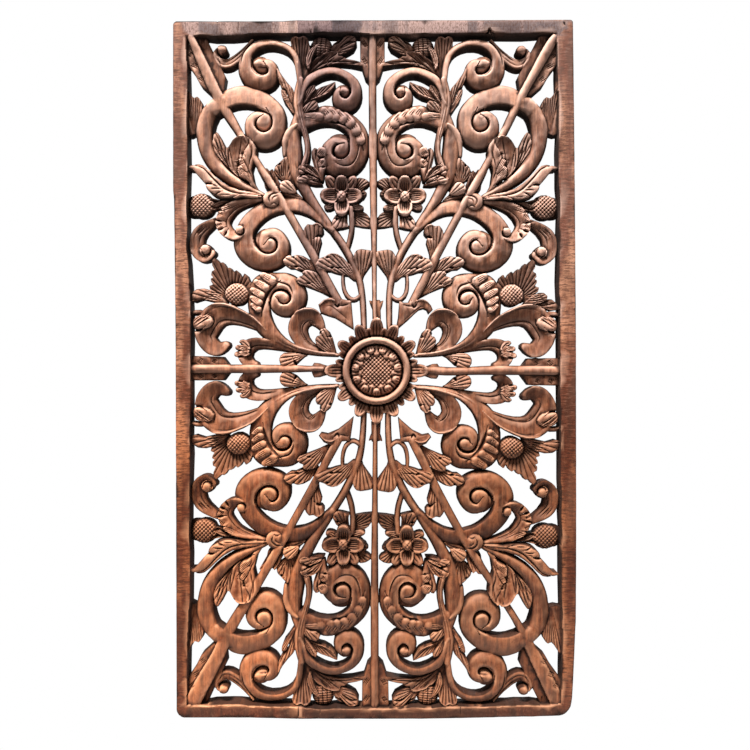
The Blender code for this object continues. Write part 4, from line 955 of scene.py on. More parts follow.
def foliage(points, start, end, crown, veins, stain_and_painted_light):
    """A broad leaf: its outline, then last the point its veins spread from."""
    outline, base = points[:-1], points[-1]
    made = Relief.around(outline, 3 * MARGIN)
    made.inside = smooth_blur(outline_field(made, outline), OUTLINE_BLUR)
    arms = outline - base
    arm_lengths = np.hypot(arms[:, 0], arms[:, 1])
    reach = arm_lengths.max()
    middle = math.atan2(*arms.mean(axis=0)[::-1])

    def turned(dx, dy):
        """The angle from the leaf's middle direction."""
        return (np.arctan2(dy, dx) - middle + math.pi) % (2 * math.pi) - math.pi

    spread = turned(*arms[arm_lengths > FAR_SHARE * reach].T)
    dx, dy = made.x[None, :] - base[0], made.y[:, None] - base[1]
    far = np.hypot(dx, dy)
    share = np.clip(far / reach, 0, 1)
    made.height = start + (end - start) * share ** FOLIAGE_POWER
    made.height += crown * (1 - np.exp(-np.maximum(made.inside, 0) / CROWN_REACH))
    made.height -= rolled_edge(made.inside, *FOLIAGE_ROLL)
    angle = turned(dx, dy)
    fade = np.clip(5 * (share - 0.12), 0, 1) * np.clip(made.inside / 2.5, 0, 1)
    for k in range(veins):
        vein = spread.min() + (spread.max() - spread.min()) * (k + 0.5) / veins
        made.height -= v_cut(far * np.clip(angle - vein, -1, 1), VEIN_WIDTH, VEIN_DEPTH) * fade
    made.stain_and_painted_light[:] = stain_and_painted_light
    return made


def dome(centre, radii, level, rise, stain_and_painted_light=0.0, cross=None):
    """A dome, with two sets of straight cuts across it if it is a berry."""
    made = Relief.around(np.array([centre]), max(radii) + MARGIN)
    x = made.x[None, :] - centre[0]
    y = made.y[:, None] - centre[1]
    ratio = np.hypot(x / radii[0], y / radii[1])
    made.inside = (1 - ratio) * min(radii)
    made.height = level - rise + rise * np.sqrt(np.clip(1 - ratio ** 2, 0, 1))
    if cross:
        direction, pitch, depth, second_pitch = cross
        for turn, gap in ((0, pitch), (90, second_pitch)):
            angle = math.radians(direction + turn)
            level_across = (y * math.cos(angle) - x * math.sin(angle)) / gap
            made.height -= v_cut((level_across - np.round(level_across)) * gap, CROSS_WIDTH, depth)
    made.stain_and_painted_light[:] = stain_and_painted_light
    return made


def plate(outline, level, stain_and_painted_light):
    """A flat board with a straight-sided outline."""
    points = np.array(outline, float)
    made = Relief.around(points, MARGIN)
    made.inside = outline_field(made, points)
    made.height = level - rolled_edge(made.inside, *PLATE_ROLL)
    made.stain_and_painted_light[:] = stain_and_painted_light
    return made


def cut(relief, points, half_width, depth, steep=1.0):
    """Take a V cut that tapers at both ends out of whatever the map shows there, or for a depth
    below 0 raise a ridge. Less than 1, steep narrows the bank on the outside of the bend."""
    line = smooth_line(points, 1.0)
    line = np.column_stack([line[:, :2], np.full(len(line), 3 * half_width)])
    patch = Relief.around(line, 3 * half_width + MARGIN)
    along, across, ratio, width = along_line(patch, line)
    if steep < 1:
        first, last = points[:-1], points[1:]
        turning = np.sum(first[:, 0] * last[:, 1] - last[:, 0] * first[:, 1])
        turning += points[-1, 0] * points[0, 1] - points[0, 0] * points[-1, 1]
        across = np.where(across * turning > 0, across, across / steep)
    taper = np.sqrt(np.clip(np.sin(np.pi * np.clip(along, 0.02, 0.98)), 0, 1))
    depths = np.where(ratio < 1, v_cut(across * width, half_width * taper, depth * taper), 0)
    here, there = relief.overlap(patch)
    relief.height[here] -= depths[there]


def hatch(relief, quarter, x, y, direction, length, count, pitch):
    """A set of level cuts side by side."""
    angle = math.radians(direction)
    run = np.array([math.cos(angle), math.sin(angle)])
    side = np.array([-run[1], run[0]])
    for k in range(count):
        middle = np.array([x, y]) + side * pitch * (k - (count - 1) / 2)
        ends = [middle - run * length / 2, middle, middle + run * length / 2]
        cut(relief, drift(ends, quarter), HATCH_WIDTH, HATCH_DEPTH)


def carve_quarter(quarter):
    """A quarter of the openwork, as it lies in the upper right: parts first, then the cuts."""
    relief = Relief(-34, -34, 306, 534)
    for x, y, radius, level in WEBS.values():
        relief.add(dome(drift([(x, y)], quarter)[0], (radius, radius), level, WEB_RISE))
    for name, (points, *form) in STEMS.items():
        relief.add(stem(name, smooth_line(drift(points, quarter)), *form))
    points, start, end, drop = DIAGONAL_SHAFTS[quarter]
    line = smooth_line(drift(points + SHAFT_FOOT, quarter))
    relief.add(stem("diagonal_shaft", line, start, end, drop, ROUND, -0.1))
    start, end, trough_depth = SCALE_FORMS[quarter.split("_")[0]]
    for row in SCALES.values():
        roots = drift([scale[0] for scale in row], quarter)
        tips = drift([scale[1] for scale in row], quarter)
        cut(relief, 1.1 * tips - 0.1 * roots, TROUGH_WIDTH, trough_depth)
        for root, tip, (*_, half_width) in zip(roots, tips, row):
            run = (tip - root) / np.hypot(*(tip - root))
            line = [(*root, 0.7 * half_width), (*((root + tip) / 2), half_width),
                    (*(tip - run * half_width), half_width)]
            relief.add(stem("scale", smooth_line(line), start, end, 3, ROUND, -0.05))
    for base, middle, tip, half_width, start, end, blunt, *form in LEAVES.values():
        line = leaf_line(*drift([base, middle, tip], quarter), half_width, blunt)
        relief.add(leaf(line, start, end, *form))
    palms = LOW_PALMS if quarter == "upper_right" else BROAD_PALM
    for outline, base, *form in {**FOLIAGE, **palms}.values():
        relief.add(foliage(drift([*outline, base], quarter), *form))
    centre = drift([FLOWER_CENTRE], quarter)[0]
    for direction, length, half_width, stain_and_painted_light in PETALS:
        angle = math.radians(direction)
        reach = np.array([math.cos(angle), math.sin(angle)]) * length
        line = leaf_line(centre, centre + reach / 2, centre + reach, half_width, 1)
        relief.add(leaf(line, *PETAL_FORM, stain_and_painted_light))
    for name, (x, y, along, up, *form) in DOMES.items():
        relief.add(dome(drift([(x, y)], quarter)[0], (along, up), *form, CROSS_CUTS.get(name)))
    head = OWN_HEADS.get(quarter, PLATES["diagonal_head"])
    for outline, level, stain_and_painted_light in {**PLATES, "diagonal_head": head}.values():
        relief.add(plate(drift(outline, quarter), level, stain_and_painted_light))
    for points, half_width, height in RIMS:
        cut(relief, drift(points, quarter), half_width, -height)
    for points, half_width, depth in CRESCENTS:
        cut(relief, drift(points, quarter), half_width, depth, BANK)
    for points, half_width, depth in sum(CUTS.values(), []):
        cut(relief, drift(points, quarter), half_width, depth)
    for marks in HATCHES:
        hatch(relief, quarter, *marks)
    return relief


def ragged(values, reach, size, seed):
    """Smooth random waves along a list of places, for edges worn by hand."""
    noise = np.random.default_rng(seed).normal(size=(1, 4096))
    waves = smooth_blur(noise, reach)[0]
    waves *= size / waves.std()
    return np.interp(values, np.arange(4096) * 0.5 - 1024, waves)


def carve_border():
    """The border: its worn outline, the arrises of its opening, the bevel below and the wear."""
    made = Relief(-310, -540, 310, 540)
    u, v = made.x[None, :], made.y[:, None]
    sides = {"left": u - np.interp(v, *LEFT_EDGE), "right": np.interp(v, *RIGHT_EDGE) - u}
    ends = {"top": np.interp(u, *TOP_EDGE) - v, "bottom": v - np.interp(u, *BOTTOM_EDGE)}
    outer = np.minimum(np.minimum(*sides.values()), np.minimum(*ends.values()))
    for name, radius in BORDER_CORNERS.items():
        end, side = name.split("_")
        beside, beyond = sides[side], ends[end]
        corner = (beside < radius) & (beyond < radius)
        rounded = radius - np.hypot(radius - beside, radius - beyond)
        outer = np.where(corner, np.minimum(outer, rounded), outer)
    arrises = (u - np.interp(v, *LEFT_ARRIS) - ragged(v, *HAND_CUT, seed=1),
               np.interp(v, *RIGHT_ARRIS) - u - ragged(v, *HAND_CUT, seed=2),
               np.interp(u, *TOP_ARRIS) - v - ragged(u, *HAND_CUT, seed=3),
               v - np.interp(u, *BOTTOM_ARRIS) - ragged(u, *LOW_CUT, seed=4))
    opening = np.minimum(np.minimum(*arrises[:2]), np.minimum(*arrises[2:]))
    made.inside = np.minimum(outer, -opening)
    wear = 0.7 + 0.5 * np.clip(ragged(u + 1.7 * v, 14, 1, seed=7), -1, 2)
    made.height = DEPTH - rolled_edge(made.inside, *BORDER_ROLL) * wear
    worn = 0.75 + np.clip(ragged(u, 6, 0.35, seed=9), -0.6, 0.4)
    bevel = np.clip(1 + (v - np.interp(u, *BOTTOM_ARRIS)) / (ARRIS_REACH * worn), 0, 1)
    bevel[:, np.abs(made.x) > ARRIS_END] = 0
    bevel[made.y > 0] = 0
    made.height -= ARRIS_DROP * bevel
    for x, y, along, up, paleness in WORN:
        patch = np.exp(-((u - x) / along) ** 2 - ((v - y) / up) ** 2)
        made.stain_and_painted_light -= paleness * patch
        made.height -= WORN_DEPTH * patch
    for points, half_width, depth in BORDER_CUTS:
        cut(made, points, half_width, depth)
    waves = smooth_blur(np.random.default_rng(12).normal(size=made.height.shape), WAVE_BLUR)
    made.height += BORDER_WAVES * np.clip(waves / waves.std(), -2, 0)
    return made


def carve_medallion():
    """The round middle: a ring of leaflets, a cross-cut disc with florets, and the ring."""
    made = Relief(-95, -95, 95, 95)
    cx, cy = MEDALLION
    centre = np.array(MEDALLION)
    radius = np.hypot(made.x[None, :] - cx, made.y[:, None] - cy)
    leaflets = []
    for angle, tip, half_width in CORONA:
        for turn in {angle, 180 - angle, -angle, angle - 180}:
            leaflets.append((turn, tip, half_width))
    for turn, tip, half_width in sorted(leaflets, key=lambda leaflet: leaflet[2]):
        run = np.array([math.cos(math.radians(turn)), math.sin(math.radians(turn))])
        ribs = [centre + run * far for far in (DISC_RADIUS, (DISC_RADIUS + tip) / 2, tip)]
        broad = half_width > 8
        level = 21 if broad else 18
        made.add(leaf(leaf_line(*ribs, half_width, 1), level - 6, level + 4, -2.5, 3 if broad else 1, 0))
    disc = dome(centre, (DISC_RADIUS, DISC_RADIUS), 24, 8, 0, DISC_CUTS)
    disc.height = np.maximum(disc.height, DISC_FLOOR)
    made.add(disc)
    for k in range(2 * FLORETS):
        turn = math.radians(90 + 180 * k / FLORETS)
        run = np.array([math.cos(turn), math.sin(turn)])
        near, half_width, level = FLORET_FORMS[k % 2]
        ribs = [centre + run * far for far in (43, 34, near)]
        made.add(leaf(leaf_line(*ribs, half_width, 1), level - 5, level, 4, 2, 0))
    ring = Relief(-60, -60, 66, 60)
    distance = np.hypot(ring.x[None, :] - cx, ring.y[:, None] - cy) - RING_RADIUS
    ring.inside = RING_HALF_WIDTH - np.abs(distance)
    ring.height = DEPTH - crowned(np.clip(distance / RING_HALF_WIDTH, -1, 1), RING_DROP)
    ring.stain_and_painted_light[:] = 0.2
    from_ring = RING_HALF_WIDTH + MOAT
    made.height -= v_cut(radius - RING_RADIUS + from_ring, MOAT_WIDTH, 6)
    made.height -= v_cut(radius - RING_RADIUS - from_ring, MOAT_WIDTH, 4)
    made.add(ring)
    return made


def carve_panel():
    """The whole relief: four quarters, shafts, medallion, tool marks and last the border."""
    panel = Relief(-308, -536, 308, 536)
    for quarter, (side, end) in QUARTERS.items():
        panel.add(carve_quarter(quarter).mirrored(side, end))
    for name, points in SHAFTS.items():
        panel.add(stem(name, smooth_line(points), *SHAFT_LEVELS, SHAFT_DROP, ROUND, 0))
    panel.add(carve_medallion())
    waves = np.random.default_rng(11).normal(size=panel.height.shape)
    facets = smooth_blur(waves, TOOL_MARK_BLUR)
    panel.height += TOOL_MARKS * facets / facets.std()
    panel.add(carve_border())
    return panel


# The cell cases of marching squares. Corners 0 to 3 run anticlockwise from the lower left,
# and 4 to 7 are the crossings on the bottom, right, top and left sides.
CASES = {
    1: [(0, 4, 7)],
    2: [(4, 1, 5)],
    3: [(0, 1, 5, 7)],
    4: [(5, 2, 6)],
    5: [(0, 4, 5, 2, 6, 7)],
    6: [(4, 1, 2, 6)],
    7: [(0, 1, 2, 6, 7)],
    8: [(7, 6, 3)],
    9: [(0, 4, 6, 3)],
    10: [(4, 1, 5, 6, 3, 7)],
    11: [(0, 1, 5, 6, 3)],
    12: [(7, 5, 2, 3)],
    13: [(0, 4, 5, 2, 3)],
    14: [(4, 1, 2, 3, 7)],
    15: [(0, 1, 2, 3)],
}


def relief_mesh(panel, name):
    """A closed mesh of the relief: carved top, upright walls and a flat back."""
    inside = panel.inside.copy()
    inside[0] = inside[-1] = -1
    inside[:, 0] = inside[:, -1] = -1
    wood = inside > 0
    x = np.broadcast_to(panel.x[None, :], wood.shape)
    y = np.broadcast_to(panel.y[:, None], wood.shape)
    node = np.full(wood.shape, -1, np.int64)
    node[wood] = np.arange(wood.sum())
    positions = [np.column_stack([x[wood], y[wood], panel.height[wood]])]
    count = int(wood.sum())

    def crossings(first, second):
        """Number and place the points where the outline crosses between neighbours."""
        nonlocal count
        a, b = inside[first], inside[second]
        mixed = (a > 0) != (b > 0)
        share = np.clip(a / np.where(mixed, a - b, 1), 0.04, 0.96)[mixed]
        place = []
        for field in (x, y, panel.height):
            place.append(field[first][mixed] * (1 - share) + field[second][mixed] * share)
        numbers = np.full(a.shape, -1, np.int64)
        numbers[mixed] = count + np.arange(mixed.sum())
        count += int(mixed.sum())
        positions.append(np.column_stack(place))
        return numbers

    level = crossings((slice(None), slice(None, -1)), (slice(None), slice(1, None)))
    upright = crossings((slice(None, -1), slice(None)), (slice(1, None), slice(None)))
    case = wood[:-1, :-1] * 1 + wood[:-1, 1:] * 2 + wood[1:, 1:] * 4 + wood[1:, :-1] * 8
    corner = [node[:-1, :-1], node[:-1, 1:], node[1:, 1:], node[1:, :-1],
              level[:-1], upright[:, 1:], level[1:], upright[:, :-1]]
    top = np.concatenate(positions)
    bottom = top.copy()
    bottom[:, 2] = 0
    triangles = []
    for number, polygons in CASES.items():
        here = case == number
        if not here.any():
            continue
        for polygon in polygons:
            ring = np.column_stack([corner[k][here] for k in polygon])
            for k in range(1, len(polygon) - 1):
                triangles.append(ring[:, [0, k, k + 1]])
                triangles.append(ring[:, [0, k + 1, k]] + count)
            for k in range(len(polygon)):
                j = (k + 1) % len(polygon)
                if polygon[k] >= 4 and polygon[j] >= 4:
                    a, b = ring[:, k], ring[:, j]
                    triangles.append(np.column_stack([a, a + count, b]))
                    triangles.append(np.column_stack([b, a + count, b + count]))
    triangles = np.concatenate(triangles)
    vertices = np.concatenate([top, bottom])
    mesh = bpy.data.meshes.new(name)
    mesh.vertices.add(len(vertices))
    world = np.column_stack([vertices[:, 0], -vertices[:, 2], vertices[:, 1]]) * MM
    mesh.vertices.foreach_set("co", world.astype(np.float32).ravel())
    mesh.loops.add(3 * len(triangles))
    mesh.loops.foreach_set("vertex_index", triangles.astype(np.int32).ravel())
    mesh.polygons.add(len(triangles))
    mesh.polygons.foreach_set("loop_start", np.arange(0, 3 * len(triangles), 3, dtype=np.int32))
    mesh.polygons.foreach_set("loop_total", np.full(len(triangles), 3, np.int32))
    mesh.update(calc_edges=True)
    mesh.validate()
    return mesh


def thinned(mesh, name):
    """The mesh with its facets thinned to the budget, flat places first."""
    made = bpy.data.objects.new(name, mesh)
    bpy.context.scene.collection.objects.link(made)
    thin = made.modifiers.new("thin", "DECIMATE")
    thin.ratio = min(1.0, FACET_BUDGET / len(mesh.polygons))
    bpy.context.view_layer.update()
    finished = made.evaluated_get(bpy.context.evaluated_depsgraph_get())
    light = bpy.data.meshes.new_from_object(finished)
    made.modifiers.clear()
    made.data = light
    bpy.data.meshes.remove(mesh)
    return made


def smooth_blur(field, reach):
    """A Gaussian blur, through the Fourier transform, with a quiet margin."""
    pad = int(3 * reach / STEP) + 1
    wide = np.pad(field, pad)
    fy = np.fft.fftfreq(wide.shape[0], STEP)[:, None]
    fx = np.fft.rfftfreq(wide.shape[1], STEP)[None, :]
    passed = np.exp(-2 * (math.pi * reach) ** 2 * (fx ** 2 + fy ** 2))
    filtered = np.fft.irfft2(np.fft.rfft2(wide) * passed, wide.shape)
    return filtered[pad:-pad, pad:-pad]


def level_around(panel, reach):
    """The mean level of the wood round each place."""
    wood = panel.inside > 0
    share = np.maximum(smooth_blur(wood.astype(float), reach), LEAST_SHARE)
    return smooth_blur(np.where(wood, panel.height, 0), reach) / share


def vertex_places(mesh):
    places = np.zeros(3 * len(mesh.vertices), np.float32)
    mesh.vertices.foreach_get("co", places)
    return places.reshape(-1, 3)


def sample(panel, field, mesh):
    """A field of the height map read at each vertex of the mesh."""
    places = vertex_places(mesh)
    a = np.clip((places[:, 0] / MM - panel.x[0]) / STEP, 0, len(panel.x) - 1.001)
    b = np.clip((places[:, 2] / MM - panel.y[0]) / STEP, 0, len(panel.y) - 1.001)
    i, j = a.astype(int), b.astype(int)
    a, b = a - i, b - j
    return ((field[j, i] * (1 - a) + field[j, i + 1] * a) * (1 - b)
            + (field[j + 1, i] * (1 - a) + field[j + 1, i + 1] * a) * b)


def set_back(panel, mesh):
    """Widen the carving as it lies deeper: its outlines are laid out as they line up with the
    front of the border, seen from the middle of the room."""
    level = np.clip(sample(panel, level_around(panel, SET_BACK_BLUR), mesh), LOWEST_LEVEL, DEPTH)
    places = vertex_places(mesh).astype(float)
    places[:, (0, 2)] *= (1 + (DEPTH - level) / SIGHT)[:, None]
    mesh.vertices.foreach_set("co", places.astype(np.float32).ravel())


def paint(mesh, name, values):
    """A value at each vertex, for the material to read."""
    attribute = mesh.attributes.new(name, "FLOAT", "POINT")
    attribute.data.foreach_set("value", values.astype(np.float32))


def paint_dirt_wear_and_light(panel, mesh):
    """Where dirt gathers and painted shade falls in hollows and creases, where edges are rubbed and
    painted as highlights, and how dark each piece is, for stains and painted shade.
    """
    surface = np.where(panel.inside > 0, panel.height, 0)
    hollow = level_around(panel, HOLLOW_BLUR) - surface
    crease = level_around(panel, CREASE_BLUR) - surface
    paint(mesh, "hollow", sample(panel, np.clip(hollow / HOLLOW_DEPTH, 0, 1), mesh))
    paint(mesh, "crease", sample(panel, np.clip(crease, 0, CREASE_DEPTH), mesh))
    paint(mesh, "ridge", sample(panel, np.clip(-crease / RIDGE_HEIGHT, 0, 1), mesh))
    paint(mesh, "stain_and_painted_light", sample(panel, smooth_blur(panel.stain_and_painted_light, STAIN_AND_PAINTED_LIGHT_BLUR), mesh))


def paint_border(panel, mesh):
    """Which wood is of the border's rails, and which of its stiles."""
    board = carve_border()
    border = np.where(board.inside > -1.0, 1.0, 0.0)
    level = np.abs(board.y[:, None]) - HEIGHT / 2 > np.abs(board.x[None, :]) - WIDTH / 2
    window, there = panel.overlap(board)
    for name, part in (("rail", level), ("stile", ~level)):
        field = np.zeros_like(panel.height)
        field[window] = (border * part)[there]
        paint(mesh, name, sample(panel, field, mesh))


def make_panel():
    """The carved panel as one smooth-shaded object."""
    panel = carve_panel()
    made = thinned(relief_mesh(panel, "carving_relief"), "carving")
    paint_dirt_wear_and_light(panel, made.data)
    paint_border(panel, made.data)
    set_back(panel, made.data)
    made.data.shade_smooth()
    made.data.set_sharp_from_angle(angle=SHARP_ANGLE)
    return made


class Nodes:
    """A material's node tree, with short ways to add nodes."""

    def __init__(self, name):
        self.material = bpy.data.materials.new(name)
        self.material.use_nodes = True
        self.tree = self.material.node_tree
        self.shader = self.tree.nodes["Principled BSDF"]

    def plug(self, value, socket):
        """Link a socket, or set a number or colour, into another socket."""
        if isinstance(value, bpy.types.NodeSocket):
            self.tree.links.new(value, socket)
        else:
            socket.default_value = value

    def attribute(self, name):
        """A value painted on the mesh."""
        made = self.tree.nodes.new("ShaderNodeAttribute")
        made.attribute_name = name
        return made.outputs["Fac"]

    def places(self):
        """The piece's own coordinates."""
        return self.tree.nodes.new("ShaderNodeTexCoord").outputs["Object"]

    def split(self, vector):
        """A vector's x, y and z."""
        made = self.tree.nodes.new("ShaderNodeSeparateXYZ")
        self.plug(vector, made.inputs[0])
        return made.outputs[:]

    def math(self, operation, first, second=0.0, clamp=False):
        made = self.tree.nodes.new("ShaderNodeMath")
        made.operation = operation
        made.use_clamp = clamp
        self.plug(first, made.inputs[0])
        self.plug(second, made.inputs[1])
        return made.outputs[0]

    def product(self, first, *others):
        for other in others:
            first = self.math("MULTIPLY", first, other)
        return first

    def greatest(self, first, *others):
        for other in others:
            first = self.math("MAXIMUM", first, other)
        return first

    def ramp(self, value, low, high, to_low=0.0, to_high=1.0):
        """The value's range from low to high, spread over another range."""
        made = self.tree.nodes.new("ShaderNodeMapRange")
        self.plug(value, made.inputs["Value"])
        names = ("From Min", "From Max", "To Min", "To Max")
        for name, number in zip(names, (low, high, to_low, to_high)):
            made.inputs[name].default_value = number
        return made.outputs[0]

    def mix(self, share, first, second, kind="MIX"):
        """The first colour with a share of the second laid over it."""
        made = self.tree.nodes.new("ShaderNodeMix")
        made.data_type = "RGBA"
        made.blend_type = kind
        self.plug(share, made.inputs["Factor"])
        for socket, value in ((made.inputs[6], first), (made.inputs[7], second)):
            self.plug((*value, 1) if isinstance(value, tuple) else value, socket)
        return made.outputs[2]

    def layers(self, look, colour, tones):
        """Lay the tones of a table over a colour, one after another."""
        for name, start, full, least, most, tone in tones:
            colour = self.mix(self.ramp(look[name], start, full, least, most), colour, tone)
        return colour

    def noise(self, stretch, detail, roughness=0.5, lean=0.0):
        """Noise on the piece's own coordinates, with cycles per metre along x, y and z, leaning
        over by some degrees in the plane of the panel."""
        mapping = self.tree.nodes.new("ShaderNodeMapping")
        mapping.inputs["Scale"].default_value = stretch
        mapping.inputs["Rotation"].default_value = (0, math.radians(lean), 0)
        self.plug(self.places(), mapping.inputs["Vector"])
        made = self.tree.nodes.new("ShaderNodeTexNoise")
        made.inputs["Scale"].default_value = 1.0
        made.inputs["Detail"].default_value = detail
        made.inputs["Roughness"].default_value = roughness
        self.plug(mapping.outputs[0], made.inputs["Vector"])
        return made.outputs["Fac"]

    def bump(self, height, distance, strength, normal=None):
        made = self.tree.nodes.new("ShaderNodeBump")
        made.inputs["Strength"].default_value = strength
        made.inputs["Distance"].default_value = distance
        self.plug(height, made.inputs["Height"])
        if normal:
            self.plug(normal, made.inputs["Normal"])
        return made.outputs[0]


def wood_look(nodes):
    """What steers the wood's colour: noises, the painted attributes, place and facing."""
    look = {name: nodes.noise(*form) for name, form in NOISES.items()}
    for name in ("rail", "stile", "hollow", "crease", "ridge", "stain_and_painted_light"):
        look[name] = nodes.attribute(name)
    look["x"], look["y"], look["z"] = nodes.split(nodes.places())
    geometry = nodes.tree.nodes.new("ShaderNodeNewGeometry")
    look["outward"], look["upward"] = nodes.split(geometry.outputs["Normal"])[1:]
    look["facet"] = nodes.split(geometry.outputs["True Normal"])[2]
    look["border"] = nodes.greatest(look["rail"], look["stile"])
    look["stipple"] = nodes.mix(look["rail"], look["stile_stipple"], look["rail_stipple"])
    return look


def bare_wood(nodes, look):
    """The carving's streaked brown, with the rails and stiles of the border each in their own."""
    high_rail = nodes.layers(look, RAIL_GREY, HIGH_RAIL_TONES)
    low_rail = nodes.layers(look, DARK_BROWN, LOW_RAIL_TONES)
    rail = nodes.mix(nodes.ramp(look["z"], -0.1, 0.1), low_rail, high_rail)
    stile = nodes.layers(look, RED_BROWN, STILE_TONES)
    colour = nodes.layers(look, MID_BROWN, CARVING_TONES)
    colour = nodes.mix(look["rail"], colour, rail)
    colour = nodes.mix(look["stile"], colour, stile)
    pits = nodes.product(look["border"], nodes.ramp(look["stipple"], 0.5, 0.58, 0, 0.8))
    colour = nodes.mix(pits, colour, DARK_BROWN)
    glints = nodes.product(look["border"], nodes.ramp(look["stipple"], 0.46, 0.36, 0, 0.12))
    return nodes.mix(glints, colour, PALE_PINK)


def wear_and_painted_light(nodes, look, colour):
    """The paler edges that hands have rubbed, with a painted highlight where they face up; the lower
    arris; and the stains, with painted shade and painted highlights.
    """
    # Rubbed wear on ridges, painted paler still the more they face up: a painted highlight from the
    # light above.
    touched_and_lit = nodes.ramp(look["upward"], -0.3, 0.4, 0.25, 0.95)
    rubbed_and_highlit = nodes.math("MULTIPLY", look["ridge"], touched_and_lit, clamp=True)
    colour = nodes.mix(rubbed_and_highlit, colour, PALE_PINK)
    bevel = nodes.product(nodes.ramp(look["facet"], 0.2, 0.32), nodes.ramp(look["facet"], 0.8, 0.6))
    low_rail = nodes.product(look["rail"], nodes.ramp(look["z"], -0.4, -0.45))
    arris = nodes.product(low_rail, bevel, nodes.ramp(look["thin_bars"], 0.35, 0.5, 0.3, 1))
    colour = nodes.mix(arris, colour, PALE_PINK)
    # Stains with painted shade where darker, worn patches and painted highlights where paler.
    return nodes.layers(look, colour, STAIN_AND_PAINTED_LIGHT_TONES)


def dirt_and_shade_share(nodes, look):
    """How much old dirt and painted shade hide the wood: on the openwork's walls, deep down, in hollows
    and in creases, where shade falls.
    """
    # Painted shade as well as dirt: upright walls, deep places, hollows and creases are painted near
    # black where shade falls.
    wall = nodes.ramp(nodes.math("ABSOLUTE", look["outward"]), 0.35, 0.05, 0, 0.9)
    dirt_and_shade = nodes.greatest(nodes.ramp(look["y"], *DEEP_DOWN, 0, 0.8), wall)
    beside = nodes.ramp(nodes.math("ABSOLUTE", look["x"]), *OUTER_SIDES)
    beyond = nodes.ramp(nodes.math("ABSOLUTE", look["z"]), *OUTER_ENDS)
    dirt_and_shade = nodes.product(dirt_and_shade, nodes.ramp(nodes.greatest(beside, beyond), 0, 1, 1, 0.25))
    hollow = nodes.ramp(look["hollow"], 0.05, 0.8, 0, 0.95)
    crease = nodes.ramp(look["crease"], 0.1, 0.9, 0, 0.9)
    return nodes.product(nodes.greatest(dirt_and_shade, hollow, crease), nodes.ramp(look["z"], -0.1, 0.1, 0.93, 1))


def tinted(nodes, look, colour):
    """The greyer upper half and the tones of the glued-up boards, multiplied over the wood."""
    half = nodes.mix(nodes.ramp(look["z"], -0.15, 0.15), LOWER_TINT, UPPER_TINT)
    right_of_joint = nodes.ramp(look["x"], *JOINT)
    middle = nodes.product(right_of_joint, nodes.ramp(look["x"], *JOINT_FADE, 1, 0),
                           nodes.ramp(look["z"], 0.0, 0.35, 0.35, 0.9))
    low_right = nodes.product(right_of_joint, nodes.ramp(look["z"], 0.0, -0.25))
    left_of_joint = nodes.ramp(look["x"], *reversed(JOINT))
    tints = ((1.0, half), (middle, BOARD_TINT), (left_of_joint, LEFT_TINT), (low_right, RIGHT_TINT))
    for share, tint in tints:
        colour = nodes.mix(share, colour, tint, "MULTIPLY")
    return colour


def make_wood():
    """Old stained hardwood: brown, paler where it is rubbed and with painted highlights where it faces
    up, with painted shade where it faces down, and near black where dirt and painted shade lie.
    """
    nodes = Nodes("aged_carved_wood")
    look = wood_look(nodes)
    # Painted highlight on faces turned up and painted shade on faces turned down, with the greyer upper
    # half.
    colour = nodes.layers(look, bare_wood(nodes, look), GREY_TOP_AND_PAINTED_FACE_SHADING)
    # Rubbed edges with painted highlights, the lower arris, and stains with painted shade and painted
    # highlights.
    colour = wear_and_painted_light(nodes, look, colour)
    # Dirt and painted shade, near black.
    colour = nodes.mix(dirt_and_shade_share(nodes, look), colour, NEAR_BLACK)
    roughness = nodes.math("ADD", nodes.ramp(look["hollow"], 0.0, 0.5, 0.6, 0.9),
                           nodes.ramp(look["specks"], 0.3, 0.7, -0.06, 0.1))
    fine_grain = nodes.math("ADD", look["streaks"], nodes.product(look["specks"], 0.5))
    saw_cut = nodes.product(look["border"], nodes.math("ADD", look["stipple"], look["saw_marks"]))
    grain = nodes.bump(fine_grain, GRAIN_DEPTH, 0.5)
    nodes.shader.inputs["Specular IOR Level"].default_value = 0.3
    nodes.plug(tinted(nodes, look, colour), nodes.shader.inputs["Base Color"])
    nodes.plug(roughness, nodes.shader.inputs["Roughness"])
    nodes.plug(nodes.bump(saw_cut, GRAIN_DEPTH, 0.4, grain), nodes.shader.inputs["Normal"])
    return nodes.material


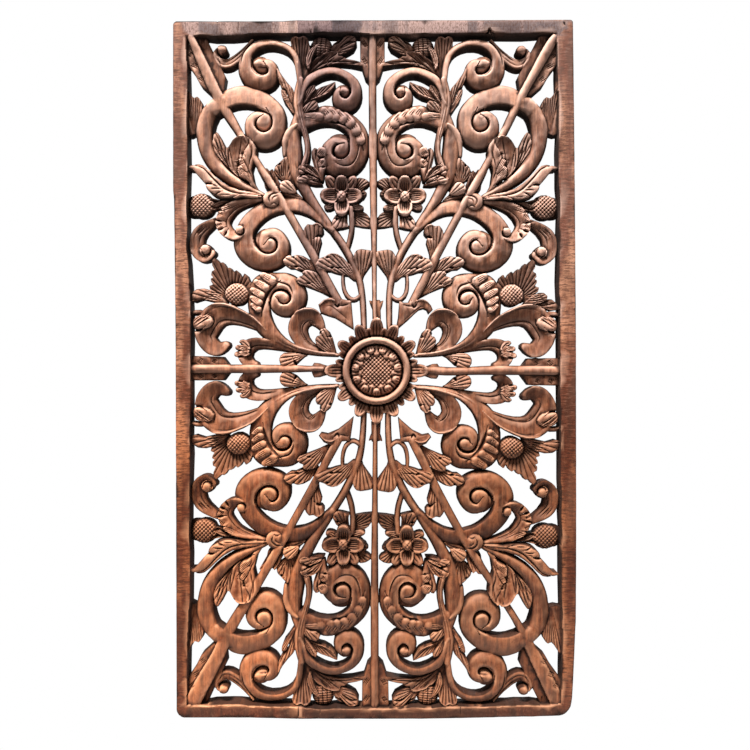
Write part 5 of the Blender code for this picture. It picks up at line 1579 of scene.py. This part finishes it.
def make_stage():
    """A pale floor some way below the panel."""
    bpy.ops.mesh.primitive_plane_add(size=1, location=FLOOR_MIDDLE)
    floor = bpy.context.object
    floor.name = "floor"
    floor.scale = FLOOR_SIZE
    nodes = Nodes("pale_floor")
    nodes.shader.inputs["Base Color"].default_value = FLOOR_COLOUR
    nodes.shader.inputs["Roughness"].default_value = 0.95
    floor.data.materials.append(nodes.material)


def add_sun(name, towards, strength, softness, colour):
    """A distant soft light, from the given direction."""
    lamp = bpy.data.lights.new(name, "SUN")
    lamp.energy = strength
    lamp.angle = math.radians(softness)
    lamp.color = colour
    made = bpy.data.objects.new(name, lamp)
    bpy.context.scene.collection.objects.link(made)
    made.rotation_euler = Vector(towards).to_track_quat("Z", "Y").to_euler()


def make_light():
    """White surroundings for the camera, with much less light from them on the panel."""
    world = bpy.data.worlds.new("studio")
    bpy.context.scene.world = world
    world.use_nodes = True
    tree = world.node_tree
    around = tree.nodes["Background"]
    around.inputs["Color"].default_value = WARM_WHITE
    around.inputs["Strength"].default_value = AMBIENT
    white = tree.nodes.new("ShaderNodeBackground")
    white.inputs["Color"].default_value = WHITE
    rays = tree.nodes.new("ShaderNodeLightPath")
    either = tree.nodes.new("ShaderNodeMixShader")
    tree.links.new(rays.outputs["Is Camera Ray"], either.inputs[0])
    tree.links.new(around.outputs[0], either.inputs[1])
    tree.links.new(white.outputs[0], either.inputs[2])
    tree.links.new(either.outputs[0], tree.nodes["World Output"].inputs["Surface"])
    for name, form in SUNS.items():
        add_sun(name, *form)


def make_camera():
    """A square-on view from a little below the middle, as wide as VIEW_WIDTH at the panel's front."""
    lens = bpy.data.cameras.new("camera")
    lens.sensor_width = SENSOR_WIDTH
    lens.lens = SENSOR_WIDTH * (VIEW_DISTANCE - DEPTH) / VIEW_WIDTH
    camera = bpy.data.objects.new("camera", lens)
    bpy.context.scene.collection.objects.link(camera)
    camera.location = (VIEW_MIDDLE[0] * MM, -VIEW_DISTANCE * MM, VIEW_MIDDLE[1] * MM)
    camera.rotation_euler = (math.pi / 2, 0, 0)
    bpy.context.scene.camera = camera


made = make_panel()
made.data.materials.append(make_wood())
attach(made, "root")
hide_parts("carved_panel")
make_stage()
make_light()
make_camera()
bpy.context.scene.view_settings.view_transform = "Standard"
